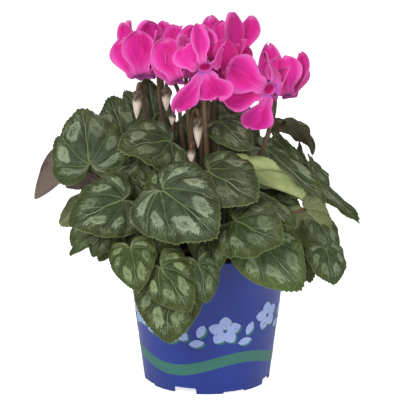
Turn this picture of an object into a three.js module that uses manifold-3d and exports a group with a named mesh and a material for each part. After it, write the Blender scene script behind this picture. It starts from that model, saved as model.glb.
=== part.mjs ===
// A potted cyclamen: a blue plastic pot with a notched foot, soil, the round tuber, heart-shaped leaves on
// long stalks, swept-back flowers and hanging buds.
// Millimetres, +Z up. -Y is the front, and the origin is the centre of the pot's foot.
import * as THREE from "three";
import { mergeVertices } from "three/addons/utils/BufferGeometryUtils.js";
import Module from "manifold-3d";

// Driving dimensions
const POT_HEIGHT = 107;
const RIM_RADIUS = 64.2;
const FOOT_RADIUS = 50;
const COLLAR_BOTTOM = 82;
const COLLAR_STEP = 0.9;
const POT_WALL = 1.4;
const POT_SIDES = 36;
const SOIL_LEVEL = 94;
const CLEARANCE = 0.3;
const TUBER_RADIUS = 27;
const TUBER_HALF_HEIGHT = 17;
const TUBER_MIDDLE = 93;
const NOTCH_WIDTH = 18;
const DEEP_NOTCH = 4.7;
const SHALLOW_NOTCH = 1.5;
const DRAIN_HOLE_RADIUS = 3.5;
const BLADE_THICKNESS = 1;
const LEAF_STALK_RADIUS = 1.5;
const FLOWER_STALK_RADIUS = 1.8;
const PETAL_THICKNESS = 0.9;

const DEGREE = Math.PI / 180;
const UP = new THREE.Vector3(0, 0, 1);
const vector = (p) => new THREE.Vector3(...p);

const wasm = await Module();
wasm.setup();

// The bare closed surface of a geometry, with the points along its seams merged, made before it is placed.
function merged(geometry) {
  const bare = new THREE.BufferGeometry().setAttribute("position", geometry.getAttribute("position"));
  if (geometry.index) bare.setIndex(geometry.index);
  return mergeVertices(bare, 1e-4);
}

function solidOf(geometry) {
  const { attributes, index } = geometry.index ? geometry : merged(geometry);
  const vertProperties = attributes.position.array;
  const triVerts = new Uint32Array(index.array);
  return new wasm.Manifold(new wasm.Mesh({ numProp: 3, vertProperties, triVerts }));
}

function geometryOf(solid) {
  const mesh = solid.getMesh();
  return new THREE.BufferGeometry()
    .setAttribute("position", new THREE.BufferAttribute(mesh.vertProperties, 3))
    .setIndex(new THREE.BufferAttribute(mesh.triVerts, 1));
}

// A ring-shaped or solid body turned round the Z axis from a closed profile of [radius, height] points.
function turned(profile, sides) {
  const points = profile.map(([r, z]) => new THREE.Vector2(r, z));
  return merged(new THREE.LatheGeometry(points, sides).rotateX(90 * DEGREE));
}

// The pot: its wall flares up to a collar with a small lip. The foot is a skirt round a raised channel with
// drain holes, and the middle of the floor stands level with the foot.
const potRadiusAt = (z) => FOOT_RADIUS + ((RIM_RADIUS - COLLAR_STEP - FOOT_RADIUS) * z) / POT_HEIGHT;
const CHANNEL_HEIGHT = 5;
const FLOOR_DISC_RADIUS = 30;
const LIP = 1.1;
const NOTCHES = 8;
const FIRST_NOTCH = -110;

function potSolid() {
  const channelTop = CHANNEL_HEIGHT + POT_WALL;
  const outside = [
    [0, 0],
    [FLOOR_DISC_RADIUS, 0],
    [FLOOR_DISC_RADIUS + 3, CHANNEL_HEIGHT],
    [FOOT_RADIUS - 1.8, CHANNEL_HEIGHT],
    [FOOT_RADIUS - 1.5, 0],
    [FOOT_RADIUS, 0],
    [potRadiusAt(COLLAR_BOTTOM), COLLAR_BOTTOM],
    [potRadiusAt(COLLAR_BOTTOM) + COLLAR_STEP, COLLAR_BOTTOM],
    [RIM_RADIUS - 0.3, POT_HEIGHT - 2.4],
    [RIM_RADIUS + LIP, POT_HEIGHT - 2],
    [RIM_RADIUS + LIP, POT_HEIGHT],
  ];
  const inside = [
    [RIM_RADIUS - POT_WALL, POT_HEIGHT],
    [potRadiusAt(COLLAR_BOTTOM) - POT_WALL, COLLAR_BOTTOM - 1],
    [potRadiusAt(channelTop) - POT_WALL, channelTop],
    [FLOOR_DISC_RADIUS + 3.6, channelTop],
    [FLOOR_DISC_RADIUS - 0.4, POT_WALL],
    [0, POT_WALL],
  ];
  let pot = solidOf(turned([...outside, ...inside], POT_SIDES));
  const hole = new THREE.CylinderGeometry(DRAIN_HOLE_RADIUS, DRAIN_HOLE_RADIUS, 8, 8);
  const drainHole = merged(hole.rotateX(90 * DEGREE));
  const deepNotch = merged(new THREE.BoxGeometry(NOTCH_WIDTH, 12, 2 * DEEP_NOTCH));
  const shallowNotch = merged(new THREE.BoxGeometry(NOTCH_WIDTH, 12, 2 * SHALLOW_NOTCH));
  const step = (2 * Math.PI) / NOTCHES;
  for (let i = 0; i < NOTCHES; i++) {
    const turn = (FIRST_NOTCH - 90) * DEGREE + i * step;
    const notch = i % 2 ? shallowNotch : deepNotch;
    const notchCut = notch.clone().translate(0, FOOT_RADIUS, 0).rotateZ(turn);
    const holeCut = drainHole.clone().translate(0, FOOT_RADIUS - 9, CHANNEL_HEIGHT).rotateZ(turn + step / 2);
    pot = pot.subtract(solidOf(notchCut)).subtract(solidOf(holeCut));
  }
  return pot;
}

// The tuber sits half out of the soil. Its crown carries every stalk.
function tuberGeometry(grow = 0) {
  return merged(new THREE.SphereGeometry(1, 12, 8).rotateX(90 * DEGREE))
    .scale(TUBER_RADIUS + grow, TUBER_RADIUS + grow, TUBER_HALF_HEIGHT + grow)
    .translate(0, 0, TUBER_MIDDLE);
}

// Where a stalk starts, a little inside the tuber's crown, and the way out of the tuber there.
const ROOT_DEPTH = 1.5;

function crownSeat(azimuth, radius) {
  const x = radius * Math.cos(azimuth);
  const y = radius * Math.sin(azimuth);
  const z = TUBER_HALF_HEIGHT * Math.sqrt(1 - (radius / TUBER_RADIUS) ** 2);
  const out = new THREE.Vector3(x, y, z * (TUBER_RADIUS / TUBER_HALF_HEIGHT) ** 2).normalize();
  const point = new THREE.Vector3(x, y, TUBER_MIDDLE + z).addScaledVector(out, -ROOT_DEPTH);
  return { point, out };
}

// The room that the tuber takes up, with the clearance that the pieces round it keep.
const tuberRoom = solidOf(tuberGeometry(CLEARANCE));

// The soil fills the pot to a low, crumbly surface with a socket for the tuber.
const CRUMB_HEIGHT = 1.2;

function soilSolid() {
  const soilRadiusAt = (z) => potRadiusAt(z) - POT_WALL - CLEARANCE - 0.2;
  const bottom = POT_WALL + CLEARANCE;
  const shelf = CHANNEL_HEIGHT + POT_WALL + CLEARANCE;
  const profile = [
    [0, bottom],
    [FLOOR_DISC_RADIUS - 1, bottom],
    [FLOOR_DISC_RADIUS + 3, shelf],
    [soilRadiusAt(shelf), shelf],
    [soilRadiusAt(SOIL_LEVEL - 14), SOIL_LEVEL - 14],
    [soilRadiusAt(SOIL_LEVEL - 14), SOIL_LEVEL - 2],
    [47, SOIL_LEVEL],
    [38, SOIL_LEVEL],
    [TUBER_RADIUS - 4, SOIL_LEVEL],
    [0, SOIL_LEVEL],
  ];
  const soil = turned(profile, 24);
  const at = soil.getAttribute("position");
  for (let i = 0; i < at.count; i++) {
    if (at.getZ(i) < SOIL_LEVEL - 3) continue;
    const x = at.getX(i);
    const y = at.getY(i);
    const crumbs = Math.sin(0.31 * x + 1) * Math.cos(0.27 * y) + 0.5 * Math.sin(0.7 * y - 0.5 * x);
    at.setZ(i, at.getZ(i) + CRUMB_HEIGHT * crumbs);
  }
  return solidOf(soil).subtract(tuberRoom);
}

// A closed thin shell over a disc of rings. Both faces are split alike, so they never cross. The place
// function gives the point at a share of the way from the middle to the edge.
function thinDisc(rings, place) {
  const points = [];
  const faces = [];
  const count = 1 + rings.reduce((sum, ring) => sum + ring.points, 0);
  for (const side of [1, -1]) {
    points.push(place(0, 0, false, side));
    for (const { share, points: n } of rings) {
      for (let i = 0; i < n; i++) {
        points.push(place(share, (i / n) * 2 * Math.PI - Math.PI, i % 2 === 0, side));
      }
    }
  }
  const addFace = (a, b, c) => faces.push([a, b, c], [c + count, b + count, a + count]);
  let inner = { start: 0, points: 1 };
  let start = 1;
  for (const { points: n } of rings) {
    for (let i = 0; i < n; i++) {
      const here = start + i;
      const next = start + ((i + 1) % n);
      if (inner.points === 1) {
        addFace(0, here, next);
        continue;
      }
      const under = inner.start + Math.floor((i * inner.points) / n);
      const nextUnder = inner.start + (Math.floor(((i + 1) * inner.points) / n) % inner.points);
      addFace(under, here, next);
      if (nextUnder !== under) addFace(under, next, nextUnder);
    }
    inner = { start, points: n };
    start += n;
  }
  for (let i = 0; i < inner.points; i++) {
    const a = inner.start + i;
    const b = inner.start + ((i + 1) % inner.points);
    faces.push([a, a + count, b + count], [a, b + count, b]);
  }
  return new THREE.BufferGeometry().setFromPoints(points).setIndex(faces.flat());
}

// A closed thin shell over a strip of rows and columns, with both faces split alike.
function thinStrip(rows, columns, place) {
  const points = [];
  const faces = [];
  const count = rows * columns;
  for (const side of [1, -1]) {
    for (let i = 0; i < rows; i++) {
      for (let j = 0; j < columns; j++) {
        points.push(place(i, j, side));
      }
    }
  }
  for (let i = 0; i < rows - 1; i++) {
    for (let j = 0; j < columns - 1; j++) {
      const a = i * columns + j;
      const [b, c, d] = [a + 1, a + columns + 1, a + columns];
      faces.push([a, c, b], [a, d, c], [b + count, c + count, a + count], [c + count, d + count, a + count]);
    }
  }
  const edge = [];
  for (let j = 0; j < columns; j++) edge.push(j);
  for (let i = 1; i < rows; i++) edge.push(i * columns + columns - 1);
  for (let j = columns - 2; j >= 0; j--) edge.push((rows - 1) * columns + j);
  for (let i = rows - 2; i > 0; i--) edge.push(i * columns);
  edge.forEach((a, k) => {
    const b = edge[(k + 1) % edge.length];
    faces.push([a, b + count, a + count], [a, b, b + count]);
  });
  return new THREE.BufferGeometry().setFromPoints(points).setIndex(faces.flat());
}

// A path of two curves, with as many steps in the second as in the first, however long each is.
class TwoPartPath extends THREE.Curve {
  constructor(first, second) {
    super();
    this.parts = [first, second];
  }
  getPoint(t, target = new THREE.Vector3()) {
    return target.copy(t < 0.5 ? this.parts[0].getPoint(2 * t) : this.parts[1].getPoint(2 * t - 1));
  }
  getPointAt(u, target) {
    return this.getPoint(u, target);
  }
  getTangentAt(u, target) {
    return this.getTangent(u, target);
  }
}

// A round stalk along a curve.
function stalkSolid(curve, radius, steps) {
  const section = new THREE.Shape(new THREE.EllipseCurve(0, 0, radius, radius).getPoints(5).slice(0, 5));
  return solidOf(new THREE.ExtrudeGeometry(section, { steps, bevelEnabled: false, extrudePath: curve }));
}

// A leaf is given by its heel, where the stalk meets it, its tip, its width, and the way its upper side
// faces. It bends along the midrib by its droop and folds at the midrib by its fold, in degrees. Every blade
// is cupped across the midrib and waved towards its toothed edge.
const BLADE_DROOP = 20;
const BLADE_CUP = 20;
const EDGE_WAVE = 1.5;
const OUTLINE_CENTRE = 0.13;
const SHOULDER = 0.61;
const STALK_INSET = 1.6;
const TOOTH_DEPTH = 0.045;

function leafFrame(leaf) {
  const heel = vector(leaf.heel);
  const chord = vector(leaf.tip).sub(heel);
  const length = chord.length();
  const along = chord.clone().normalize();
  const facing = vector(leaf.face);
  const normal = facing.addScaledVector(along, -facing.dot(along)).normalize();
  const bend = (leaf.droop ?? BLADE_DROOP) * DEGREE;
  const axis = new THREE.Vector3().crossVectors(along, normal);
  along.applyAxisAngle(axis, bend / 2);
  normal.applyAxisAngle(axis, bend / 2);
  const sideways = new THREE.Vector3().crossVectors(normal, along);
  const arc = (length * (bend / 2)) / Math.sin(bend / 2);
  return { heel, along, normal, sideways, bend, length: arc };
}

// The distance from the outline's centre to the leaf's edge, as a share of the leaf's length: a blunt tip
// ahead, round shoulders, and two lobes with a narrow gap between them behind.
function outlineRadius(angle) {
  const turn = Math.abs(angle);
  const tip = (1 - OUTLINE_CENTRE - SHOULDER) * Math.exp(-((turn / 0.48) ** 1.3));
  const behind = Math.max(0, (turn - 1.55) / (Math.PI - 1.55));
  return (SHOULDER + tip) * (1 - (1 - OUTLINE_CENTRE / SHOULDER) * behind ** 2.4);
}

// A point of the bent blade from its distance along the midrib, across it and above it.
function onBlade(frame, u, across, lift) {
  const curve = frame.bend / frame.length;
  const height = lift + 1 / curve;
  return frame.heel
    .clone()
    .addScaledVector(frame.along, height * Math.sin(curve * u))
    .addScaledVector(frame.normal, height * Math.cos(curve * u) - 1 / curve)
    .addScaledVector(frame.sideways, across);
}

function bladePoint(leaf, frame, share, angle, onTooth, side) {
  const edge = outlineRadius(angle) * (share === 1 && !onTooth ? 1 - TOOTH_DEPTH : 1);
  const u = frame.length * (OUTLINE_CENTRE + share * edge * Math.cos(angle));
  const v = ((leaf.width / 2) * share * edge * Math.sin(angle)) / SHOULDER;
  const cup = (BLADE_CUP * DEGREE) / (leaf.width / 2);
  const fold = (leaf.fold ?? 0) * DEGREE;
  const spread = Math.sin(cup * v) / cup;
  const fall = (1 - Math.cos(cup * v)) / cup;
  const wave = EDGE_WAVE * Math.sin(3 * angle) * share ** 2;
  const lift = wave - fall - Math.abs(spread) * Math.sin(fold);
  return onBlade(frame, u, spread * Math.cos(fold), lift + (side * BLADE_THICKNESS) / 2);
}

// Leaf stalks leave the tuber's crown towards their own leaf: the steeper a stalk, the nearer the middle.
function leafSeat(leaf, order) {
  const [x, y, z] = leaf.heel;
  const lean = Math.atan2(Math.hypot(x, y), z - TUBER_MIDDLE - TUBER_HALF_HEIGHT) / DEGREE;
  const [azimuth, radius] = leaf.seat ?? [Math.atan2(y, x) / DEGREE, 12.5 + 0.13 * lean];
  return crownSeat((azimuth + 5 * order) * DEGREE, radius);
}

function leafSolid(leaf, seat) {
  const frame = leafFrame(leaf);
  const teeth = leaf.teeth ?? 12;
  const rings = [
    { share: 0.5, points: teeth / 2 },
    { share: 1, points: 2 * teeth },
  ];
  const blade = solidOf(thinDisc(rings, (...at) => bladePoint(leaf, frame, ...at)));
  const end = onBlade(frame, STALK_INSET, 0, -0.5);
  const reach = end.distanceTo(seat.point);
  const arrival = frame.along.clone().multiplyScalar(0.5).addScaledVector(frame.normal, 0.85).normalize();
  const path = new THREE.CubicBezierCurve3(
    seat.point,
    seat.point.clone().addScaledVector(seat.out, reach * (leaf.rise ?? 0.4)),
    end.clone().addScaledVector(arrival, -reach * 0.3),
    end,
  );
  return blade.add(stalkSolid(path, LEAF_STALK_RADIUS, 4)).subtract(tuberRoom);
}

// Every leaf, by node. The stalks of leaves that share a node grow together at the tuber.
const LEAVES = [
  {
    node: "leaf_01", heel: [-89, -30, 176], tip: [-97, 8, 214], width: 64, face: [-0.12, -0.9, 0.35],
    teeth: 14,
  },
  {
    node: "leaf_01", heel: [-52, -12, 178], tip: [-66, -48, 166], width: 36, face: [0, -0.3, 0.95],
    teeth: 10,
  },
  {
    node: "leaf_02", heel: [-64, 12, 184], tip: [-77, 38, 221], width: 44, face: [-0.2, -0.9, 0.35],
    teeth: 10,
  },
  {
    node: "leaf_03", heel: [-28, -42, 195], tip: [-66, -68, 194], width: 50, face: [-0.05, -0.75, 0.6],
    teeth: 12,
  },
  {
    node: "leaf_04", heel: [-33, -82, 166], tip: [7, -107, 136], width: 68, face: [-0.1, -0.85, 0.5],
    teeth: 16,
  },
  {
    node: "leaf_05", heel: [-61, -68, 156], tip: [-103, -76, 139], width: 52, face: [-0.2, -0.85, 0.45],
    teeth: 14, seat: [-141, 20.5],
  },
  {
    node: "leaf_06", heel: [-86, -28, 152], tip: [-112, -32, 128], width: 34, face: [-0.6, 0.7, 0.2],
    teeth: 8, seat: [-152, 22.5],
  },
  {
    node: "leaf_06", heel: [-80, -50, 134], tip: [-103, -62, 112], width: 26, face: [-0.6, -0.7, 0.2],
    teeth: 8,
  },
  {
    node: "leaf_07", heel: [-56, -91, 125], tip: [-49, -106, 96], width: 36, face: [-0.2, -0.95, 0.3],
    teeth: 12, seat: [-133, 23.5],
  },
  {
    node: "leaf_08", heel: [-34, -96, 112], tip: [-12, -110, 82], width: 40, face: [0, -0.95, 0.3],
    teeth: 12, seat: [-117, 24],
  },
  {
    node: "leaf_08", heel: [-36, -78, 120], tip: [-15, -94, 93], width: 30, face: [0.05, -0.95, 0.25],
    teeth: 10,
  },
  {
    node: "leaf_09", heel: [-28, -82, 98], tip: [-28, -97, 54], width: 54, face: [0, -1, 0.15],
    teeth: 12, rise: 0.88, seat: [-102, 24],
  },
  {
    node: "leaf_10", heel: [0, -66, 178], tip: [36, -96, 160], width: 56, face: [0.1, -0.8, 0.6],
    teeth: 14,
  },
  {
    node: "leaf_11", heel: [10, -22, 208], tip: [32, -45, 188], width: 36, face: [0.3, -0.7, 0.6],
    seat: [-60, 14.5], teeth: 10,
  },
  {
    node: "leaf_12", heel: [22, -42, 168], tip: [76, -48, 150], width: 46, face: [0, 0.75, 0.65],
    fold: -35, teeth: 12, seat: [-58, 18.5],
  },
  {
    node: "leaf_13", heel: [44, -8, 184], tip: [92, -29, 144], width: 38, face: [0.4, -0.55, 0.74],
    teeth: 12, seat: [-14, 16.5],
  },
  {
    node: "leaf_14", heel: [61, 27, 202], tip: [86, 31, 173], width: 38, face: [0.3, 0.4, 0.85],
    droop: 90, teeth: 10,
  },
  {
    node: "leaf_15", heel: [77, 30, 171], tip: [125, 26, 120], droop: -24, width: 42, face: [0.75, -0.2, 0.6],
    seat: [28, 21.5], teeth: 10,
  },
  {
    node: "leaf_16", heel: [72, -54, 147], tip: [93, -53, 125], width: 28, face: [-0.2, 0.9, 0.3],
    seat: [-46, 21.5], teeth: 10,
  },
  {
    node: "leaf_17", heel: [72, -44, 134], tip: [82, -50, 112], width: 22, face: [-0.3, 0.9, 0.2],
    teeth: 8, seat: [-31, 22],
  },
  {
    node: "leaf_17", heel: [88, -63, 118], tip: [97, -75, 92], width: 35, face: [0.4, -0.85, 0.3],
    teeth: 10,
  },
  {
    node: "leaf_18", heel: [37, -62, 157], tip: [65, -80, 137], width: 30, face: [0.6, -0.6, 0.5],
    seat: [-66, 21.5], teeth: 10,
  },
  {
    node: "leaf_19", heel: [19, -84.5, 144], tip: [54, -106, 132], width: 55, face: [0.05, -0.85, 0.45],
    teeth: 14, seat: [-75, 22.5],
  },
  {
    node: "leaf_20", heel: [-7, -92, 114], tip: [0, -104, 87], width: 30, face: [0.1, -0.95, 0.25],
    teeth: 10,
  },
  {
    node: "leaf_20", heel: [0, -72, 135], tip: [5, -92, 104], width: 34, face: [0, -0.9, 0.4],
    teeth: 12, seat: [-85, 23.5],
  },
  {
    node: "leaf_21", heel: [37, -75, 128], tip: [69, -88, 92], width: 54, face: [0.2, -0.9, 0.3],
    teeth: 14, seat: [-57, 23.8],
  },
  {
    node: "leaf_22", heel: [-113, 2, 176], tip: [-136, 4, 142], width: 25, face: [0.3, 0.9, 0.2],
    teeth: 8,
  },
  {
    node: "leaf_22", heel: [-92, 12, 162], tip: [-112, 14, 150], width: 20, face: [0.2, 0.9, 0.3],
    teeth: 8,
  },
  {
    node: "leaf_23", heel: [26, 10, 206], tip: [4, 16, 222], width: 26, face: [0, -0.9, 0.4],
    teeth: 8, seat: [40, 13.5],
  },
  { node: "leaf_23", heel: [30, 62, 178], tip: [44, 98, 160], width: 52, face: [0.1, 0.7, 0.7], teeth: 8 },
  {
    node: "leaf_24", heel: [-30, 66, 176], tip: [-44, 102, 158], width: 54, face: [-0.1, 0.7, 0.7],
    teeth: 8,
  },
  { node: "leaf_24", heel: [-4, 76, 140], tip: [2, 104, 112], width: 46, face: [0, 0.9, 0.4], teeth: 8 },
  { node: "leaf_25", heel: [66, 58, 148], tip: [88, 84, 120], width: 48, face: [0.6, 0.7, 0.4], teeth: 8 },
  { node: "leaf_25", heel: [38, 76, 122], tip: [48, 98, 92], width: 42, face: [0.3, 0.9, 0.3], teeth: 8 },
  {
    node: "leaf_26", heel: [-70, 56, 150], tip: [-94, 82, 124], width: 50, face: [-0.6, 0.7, 0.4],
    teeth: 8,
  },
  {
    node: "leaf_26", heel: [-46, 74, 122], tip: [-54, 96, 90], width: 42, face: [-0.3, 0.9, 0.3],
    teeth: 8,
  },
];

// The crown holds the flower stalks near its middle, spread as their flowers are but closer together.
const CROWN_SPREAD = 0.19;
const HOOK_REACH = 12;

function flowerSeat(item) {
  const [x, y] = item.seat ?? [CROWN_SPREAD * item.at[0], CROWN_SPREAD * item.at[1]];
  return crownSeat(Math.atan2(y, x), Math.hypot(x, y));
}

// The way from a hanging flower to the stalk that comes up beside it, square to the flower's axis.
function hookSide(item, axis) {
  const towards = item.hook ?? [-item.at[0], -item.at[1], 0];
  const side = vector(towards);
  return side.addScaledVector(axis, -side.dot(axis)).normalize();
}

// A stalk rises beside its flower, bends over and comes into the calyx along the flower's axis.
function hookedStalk(item, axis, calyx, radius) {
  const seat = flowerSeat(item);
  const beside = calyx.clone().addScaledVector(hookSide(item, axis), HOOK_REACH).addScaledVector(UP, -10);
  const rise = beside.distanceTo(seat.point);
  const hook = beside.distanceTo(calyx);
  const path = new TwoPartPath(
    new THREE.CubicBezierCurve3(
      seat.point,
      seat.point.clone().addScaledVector(seat.out, rise * 0.35),
      beside.clone().addScaledVector(UP, -rise * 0.3),
      beside,
    ),
    new THREE.CubicBezierCurve3(
      beside,
      beside.clone().addScaledVector(UP, hook * 0.8),
      calyx.clone().addScaledVector(axis, -hook * 0.75),
      calyx,
    ),
  );
  return stalkSolid(path, radius, 8).subtract(tuberRoom);
}

// Turns a body made round +Z so that +Z runs along an axis, and moves it to a point.
function placed(geometry, axis, point) {
  const facing = new THREE.Quaternion().setFromUnitVectors(UP, axis);
  return solidOf(geometry.applyQuaternion(facing).translate(...point));
}

// The calyx: a small cup of five pointed sepals that clasps the flower. Its base is at the origin.
const CALYX_BASE = 1.5;
const CALYX_BASE_RADIUS = 3.7;
const CUP_DEPTH = 2.2;

function calyxGeometry(tubeRadius, sepalLength) {
  const inside = tubeRadius + CLEARANCE;
  const profile = [
    [0, -CALYX_BASE],
    [CALYX_BASE_RADIUS, -CALYX_BASE],
    [inside + 0.7, CUP_DEPTH + 0.4],
    [inside, CUP_DEPTH],
    [0, 0],
  ];
  const cup = turned(profile, 10);
  const at = cup.getAttribute("position");
  for (let i = 0; i < at.count; i++) {
    const onRim = at.getZ(i) > CUP_DEPTH + 0.2;
    const onSepal = Math.cos(5 * Math.atan2(at.getY(i), at.getX(i))) > 0;
    if (onRim && onSepal) at.setXYZ(i, at.getX(i) * 1.15, at.getY(i) * 1.15, at.getZ(i) + sepalLength);
  }
  return cup;
}

// A flower hangs from its calyx. Its short tube opens at the mouth, where five petals turn sharply back and
// stand away from the axis by their spread, twisted like a propeller. The gap between the first and the last
// lets the stalk by.
const TUBE_LENGTH = 8.5;
const TUBE_RADIUS = 4;
const MOUTH_RADIUS = 5.6;
const PETAL_TURN_RADIUS = 2.6;
const PETAL_BOW = 14;
const PETAL_TWIST = 35;
const FIRST_PETAL = 56;
const PETAL_STEP = 62;
const PETAL_ROWS = [0, 0.13, 0.4, 0.76, 1];
const PETAL_HALF_WIDTHS = [0.18, 0.3, 0.84, 0.96, 0.3];

// A petal has its flower's length, width, spread and twist, or its own where the flower's petals differ.
// Its turn moves it round the mouth from the even step.
function petalSolid(flower, axis, out, k) {
  const petal = { length: 34, width: 21, twist: PETAL_TWIST, ...flower, ...flower.petals?.[k] };
  const spread = petal.spread * DEGREE;
  const length = petal.length;
  const halfWidth = petal.width / 2;
  const around = new THREE.Vector3().crossVectors(axis, out);
  const turnBy = Math.PI - spread;
  const arc = PETAL_TURN_RADIUS * turnBy;
  const bow = PETAL_BOW * DEGREE;
  const mouth = vector(flower.at);
  const place = (i, j, side) => {
    const run = PETAL_ROWS[i] * length;
    const turnedBy = Math.min(1, run / arc) * turnBy;
    const rest = Math.max(0, run - arc);
    const lean = turnBy + (bow * rest) / length;
    const spine = mouth
      .clone()
      .addScaledVector(out, MOUTH_RADIUS - 0.8 + PETAL_TURN_RADIUS * (1 - Math.cos(turnedBy)))
      .addScaledVector(out, rest * Math.sin(lean))
      .addScaledVector(axis, PETAL_TURN_RADIUS * Math.sin(turnedBy) - 0.4 + rest * Math.cos(lean));
    const heading = rest > 0 ? lean : turnedBy;
    const normal = out.clone().multiplyScalar(-Math.cos(heading)).addScaledVector(axis, Math.sin(heading));
    const forward = out.clone().multiplyScalar(Math.sin(heading)).addScaledVector(axis, Math.cos(heading));
    const twist = petal.twist * DEGREE * PETAL_ROWS[i] ** 0.7;
    const across = around.clone().applyAxisAngle(forward, twist);
    normal.applyAxisAngle(forward, twist);
    const curl = 1.2 * Math.abs(j - 1) * PETAL_ROWS[i];
    return spine
      .addScaledVector(across, (j - 1) * halfWidth * PETAL_HALF_WIDTHS[i])
      .addScaledVector(normal, curl + (side * PETAL_THICKNESS) / 2);
  };
  return solidOf(thinStrip(PETAL_ROWS.length, 3, place));
}

function flowerAxis(flower) {
  return vector(flower.axis).normalize();
}

function flowerSolid(flower) {
  const axis = flowerAxis(flower);
  const side = hookSide(flower, axis);
  const tube = turned(
    [
      [0, -TUBE_LENGTH],
      [TUBE_RADIUS, CUP_DEPTH - TUBE_LENGTH],
      [MOUTH_RADIUS, 0],
      [MOUTH_RADIUS - 1.4, 0.3],
      [0, -5],
    ],
    8,
  );
  let bloom = placed(tube, axis, flower.at);
  for (let k = 0; k < 5; k++) {
    const turn = flower.petals?.[k].turn ?? 0;
    const out = side.clone().applyAxisAngle(axis, (FIRST_PETAL + PETAL_STEP * k + turn) * DEGREE);
    bloom = bloom.add(petalSolid(flower, axis, out, k));
  }
  return bloom;
}

function flowerStalkSolid(flower) {
  const axis = flowerAxis(flower);
  const base = vector(flower.at).addScaledVector(axis, -TUBE_LENGTH - CLEARANCE);
  const calyx = placed(calyxGeometry(TUBE_RADIUS, 3.5), axis, base);
  const tie = base.addScaledVector(axis, -CALYX_BASE / 2);
  return calyx.add(hookedStalk(flower, axis, tie, FLOWER_STALK_RADIUS));
}

// A bud hangs with its petals rolled in a pointed spindle.
const BUD_RADIUS = 3.6;
const YOUNG_BUD_RADIUS = 2.8;
const YOUNG_STALK_RADIUS = 1.5;
const BUD_TWIST = 70;

function budGeometry(length, radius) {
  const spindle = turned(
    [
      [0, 0],
      [radius, CUP_DEPTH],
      [radius * 0.62, length * 0.7],
      [0, length],
    ],
    6,
  );
  const at = spindle.getAttribute("position");
  const point = new THREE.Vector3();
  for (let i = 0; i < at.count; i++) {
    point.fromBufferAttribute(at, i);
    point.applyAxisAngle(UP, (point.z / length) * BUD_TWIST * DEGREE);
    at.setXYZ(i, point.x, point.y, point.z);
  }
  return spindle;
}

const FLOWERS = [
  { at: [-48, -18, 244], axis: [0.06, -0.35, -0.9], spread: 22, length: 37, width: 24 },
  { at: [-47, 30, 253], axis: [-0.05, -0.1, -0.98], spread: 22, length: 36 },
  { at: [-19, -45, 244], axis: [0.25, -0.35, -0.9], spread: 15, length: 36, width: 23, seat: [-3.4, -8.2] },
  { at: [-14, 10, 249], axis: [-0.1, -0.2, -0.95], spread: 20, length: 36 },
  {
    at: [-2, -72, 254], axis: [0.05, -0.75, -0.6], spread: 26, length: 28, hook: [0, 0.3, -1], seat: [1.5, -13],
    petals: [
      { spread: 106, length: 25, width: 27, twist: 5, turn: -36 },
      { length: 23 },
      { spread: 40, length: 32, width: 13, twist: 60, turn: 14 },
      { length: 23 },
      { spread: 110, length: 38, width: 17, twist: -15, turn: 24 },
    ],
  },
  { at: [2, -30.5, 228], axis: [0, -0.3, -0.95], spread: 10, length: 26, width: 13, seat: [-1.2, -2.8] },
  { at: [16, 39, 249], axis: [0.22, -0.22, -0.9], spread: 29, length: 43, width: 28, seat: [5.5, 5.9] },
  { at: [16, -10, 243], axis: [0.1, -0.3, -0.9], spread: 18, length: 32, width: 18 },
  {
    at: [46, -44, 235], axis: [0.3, -0.75, -0.25], spread: 24, length: 34, width: 22,
    hook: [0.4, 0.3, -0.6], seat: [8.6, -9.1],
    petals: [
      {},
      {},
      { spread: 70, length: 36, width: 28, turn: 18 },
      { spread: 76, length: 34, width: 20, turn: 5 },
      { spread: 88, length: 34, width: 25, turn: 5 },
    ],
  },
  {
    at: [59, 4, 226], axis: [0.1, -0.4, -0.9], spread: 23, length: 42, width: 25,
    hook: [-0.4, 1, 0], seat: [11, 4],
  },
];

const BUDS = [
  { at: [-52, -38, 232], axis: [-0.05, 0, -1], length: 20, hook: [0.4, 1, 0] },
  { at: [-31, -22, 233], axis: [0, 0, -1], length: 17, seat: [-5.6, -4.6] },
  { at: [-7, -44, 213], axis: [0, -0.1, -1], length: 22, hook: [-0.5, 1, 0], seat: [1.6, -8.4] },
];

const YOUNG_BUDS = [
  { at: [-12, -56, 192], axis: [0, -0.2, -1], length: 11, hook: [0.2, 1, 0], seat: [-4.6, -12.2] },
  { at: [-26, -24, 214], axis: [-0.1, -0.1, -1], length: 9, hook: [0, 1, 0], seat: [-6.6, -0.6] },
];

const finish = {
  pot: { color: "#2c47a8", roughness: 0.45 },
  soil: { color: "#2b1f17", roughness: 1 },
  tuber: { color: "#5a4030", roughness: 0.95 },
  leaf: { color: "#3c5530", roughness: 0.55 },
  stalk: { color: "#6b4a38", roughness: 0.5 },
  petal: { color: "#e2268f", roughness: 0.6 },
  bud: { color: "#e8d6cc", roughness: 0.6 },
};

const plant = new THREE.Group();

function addPiece(name, solid, kind) {
  const material = new THREE.MeshStandardMaterial({ ...finish[kind], metalness: 0 });
  const mesh = new THREE.Mesh(geometryOf(solid), material);
  mesh.name = name;
  plant.add(mesh);
}

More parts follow.
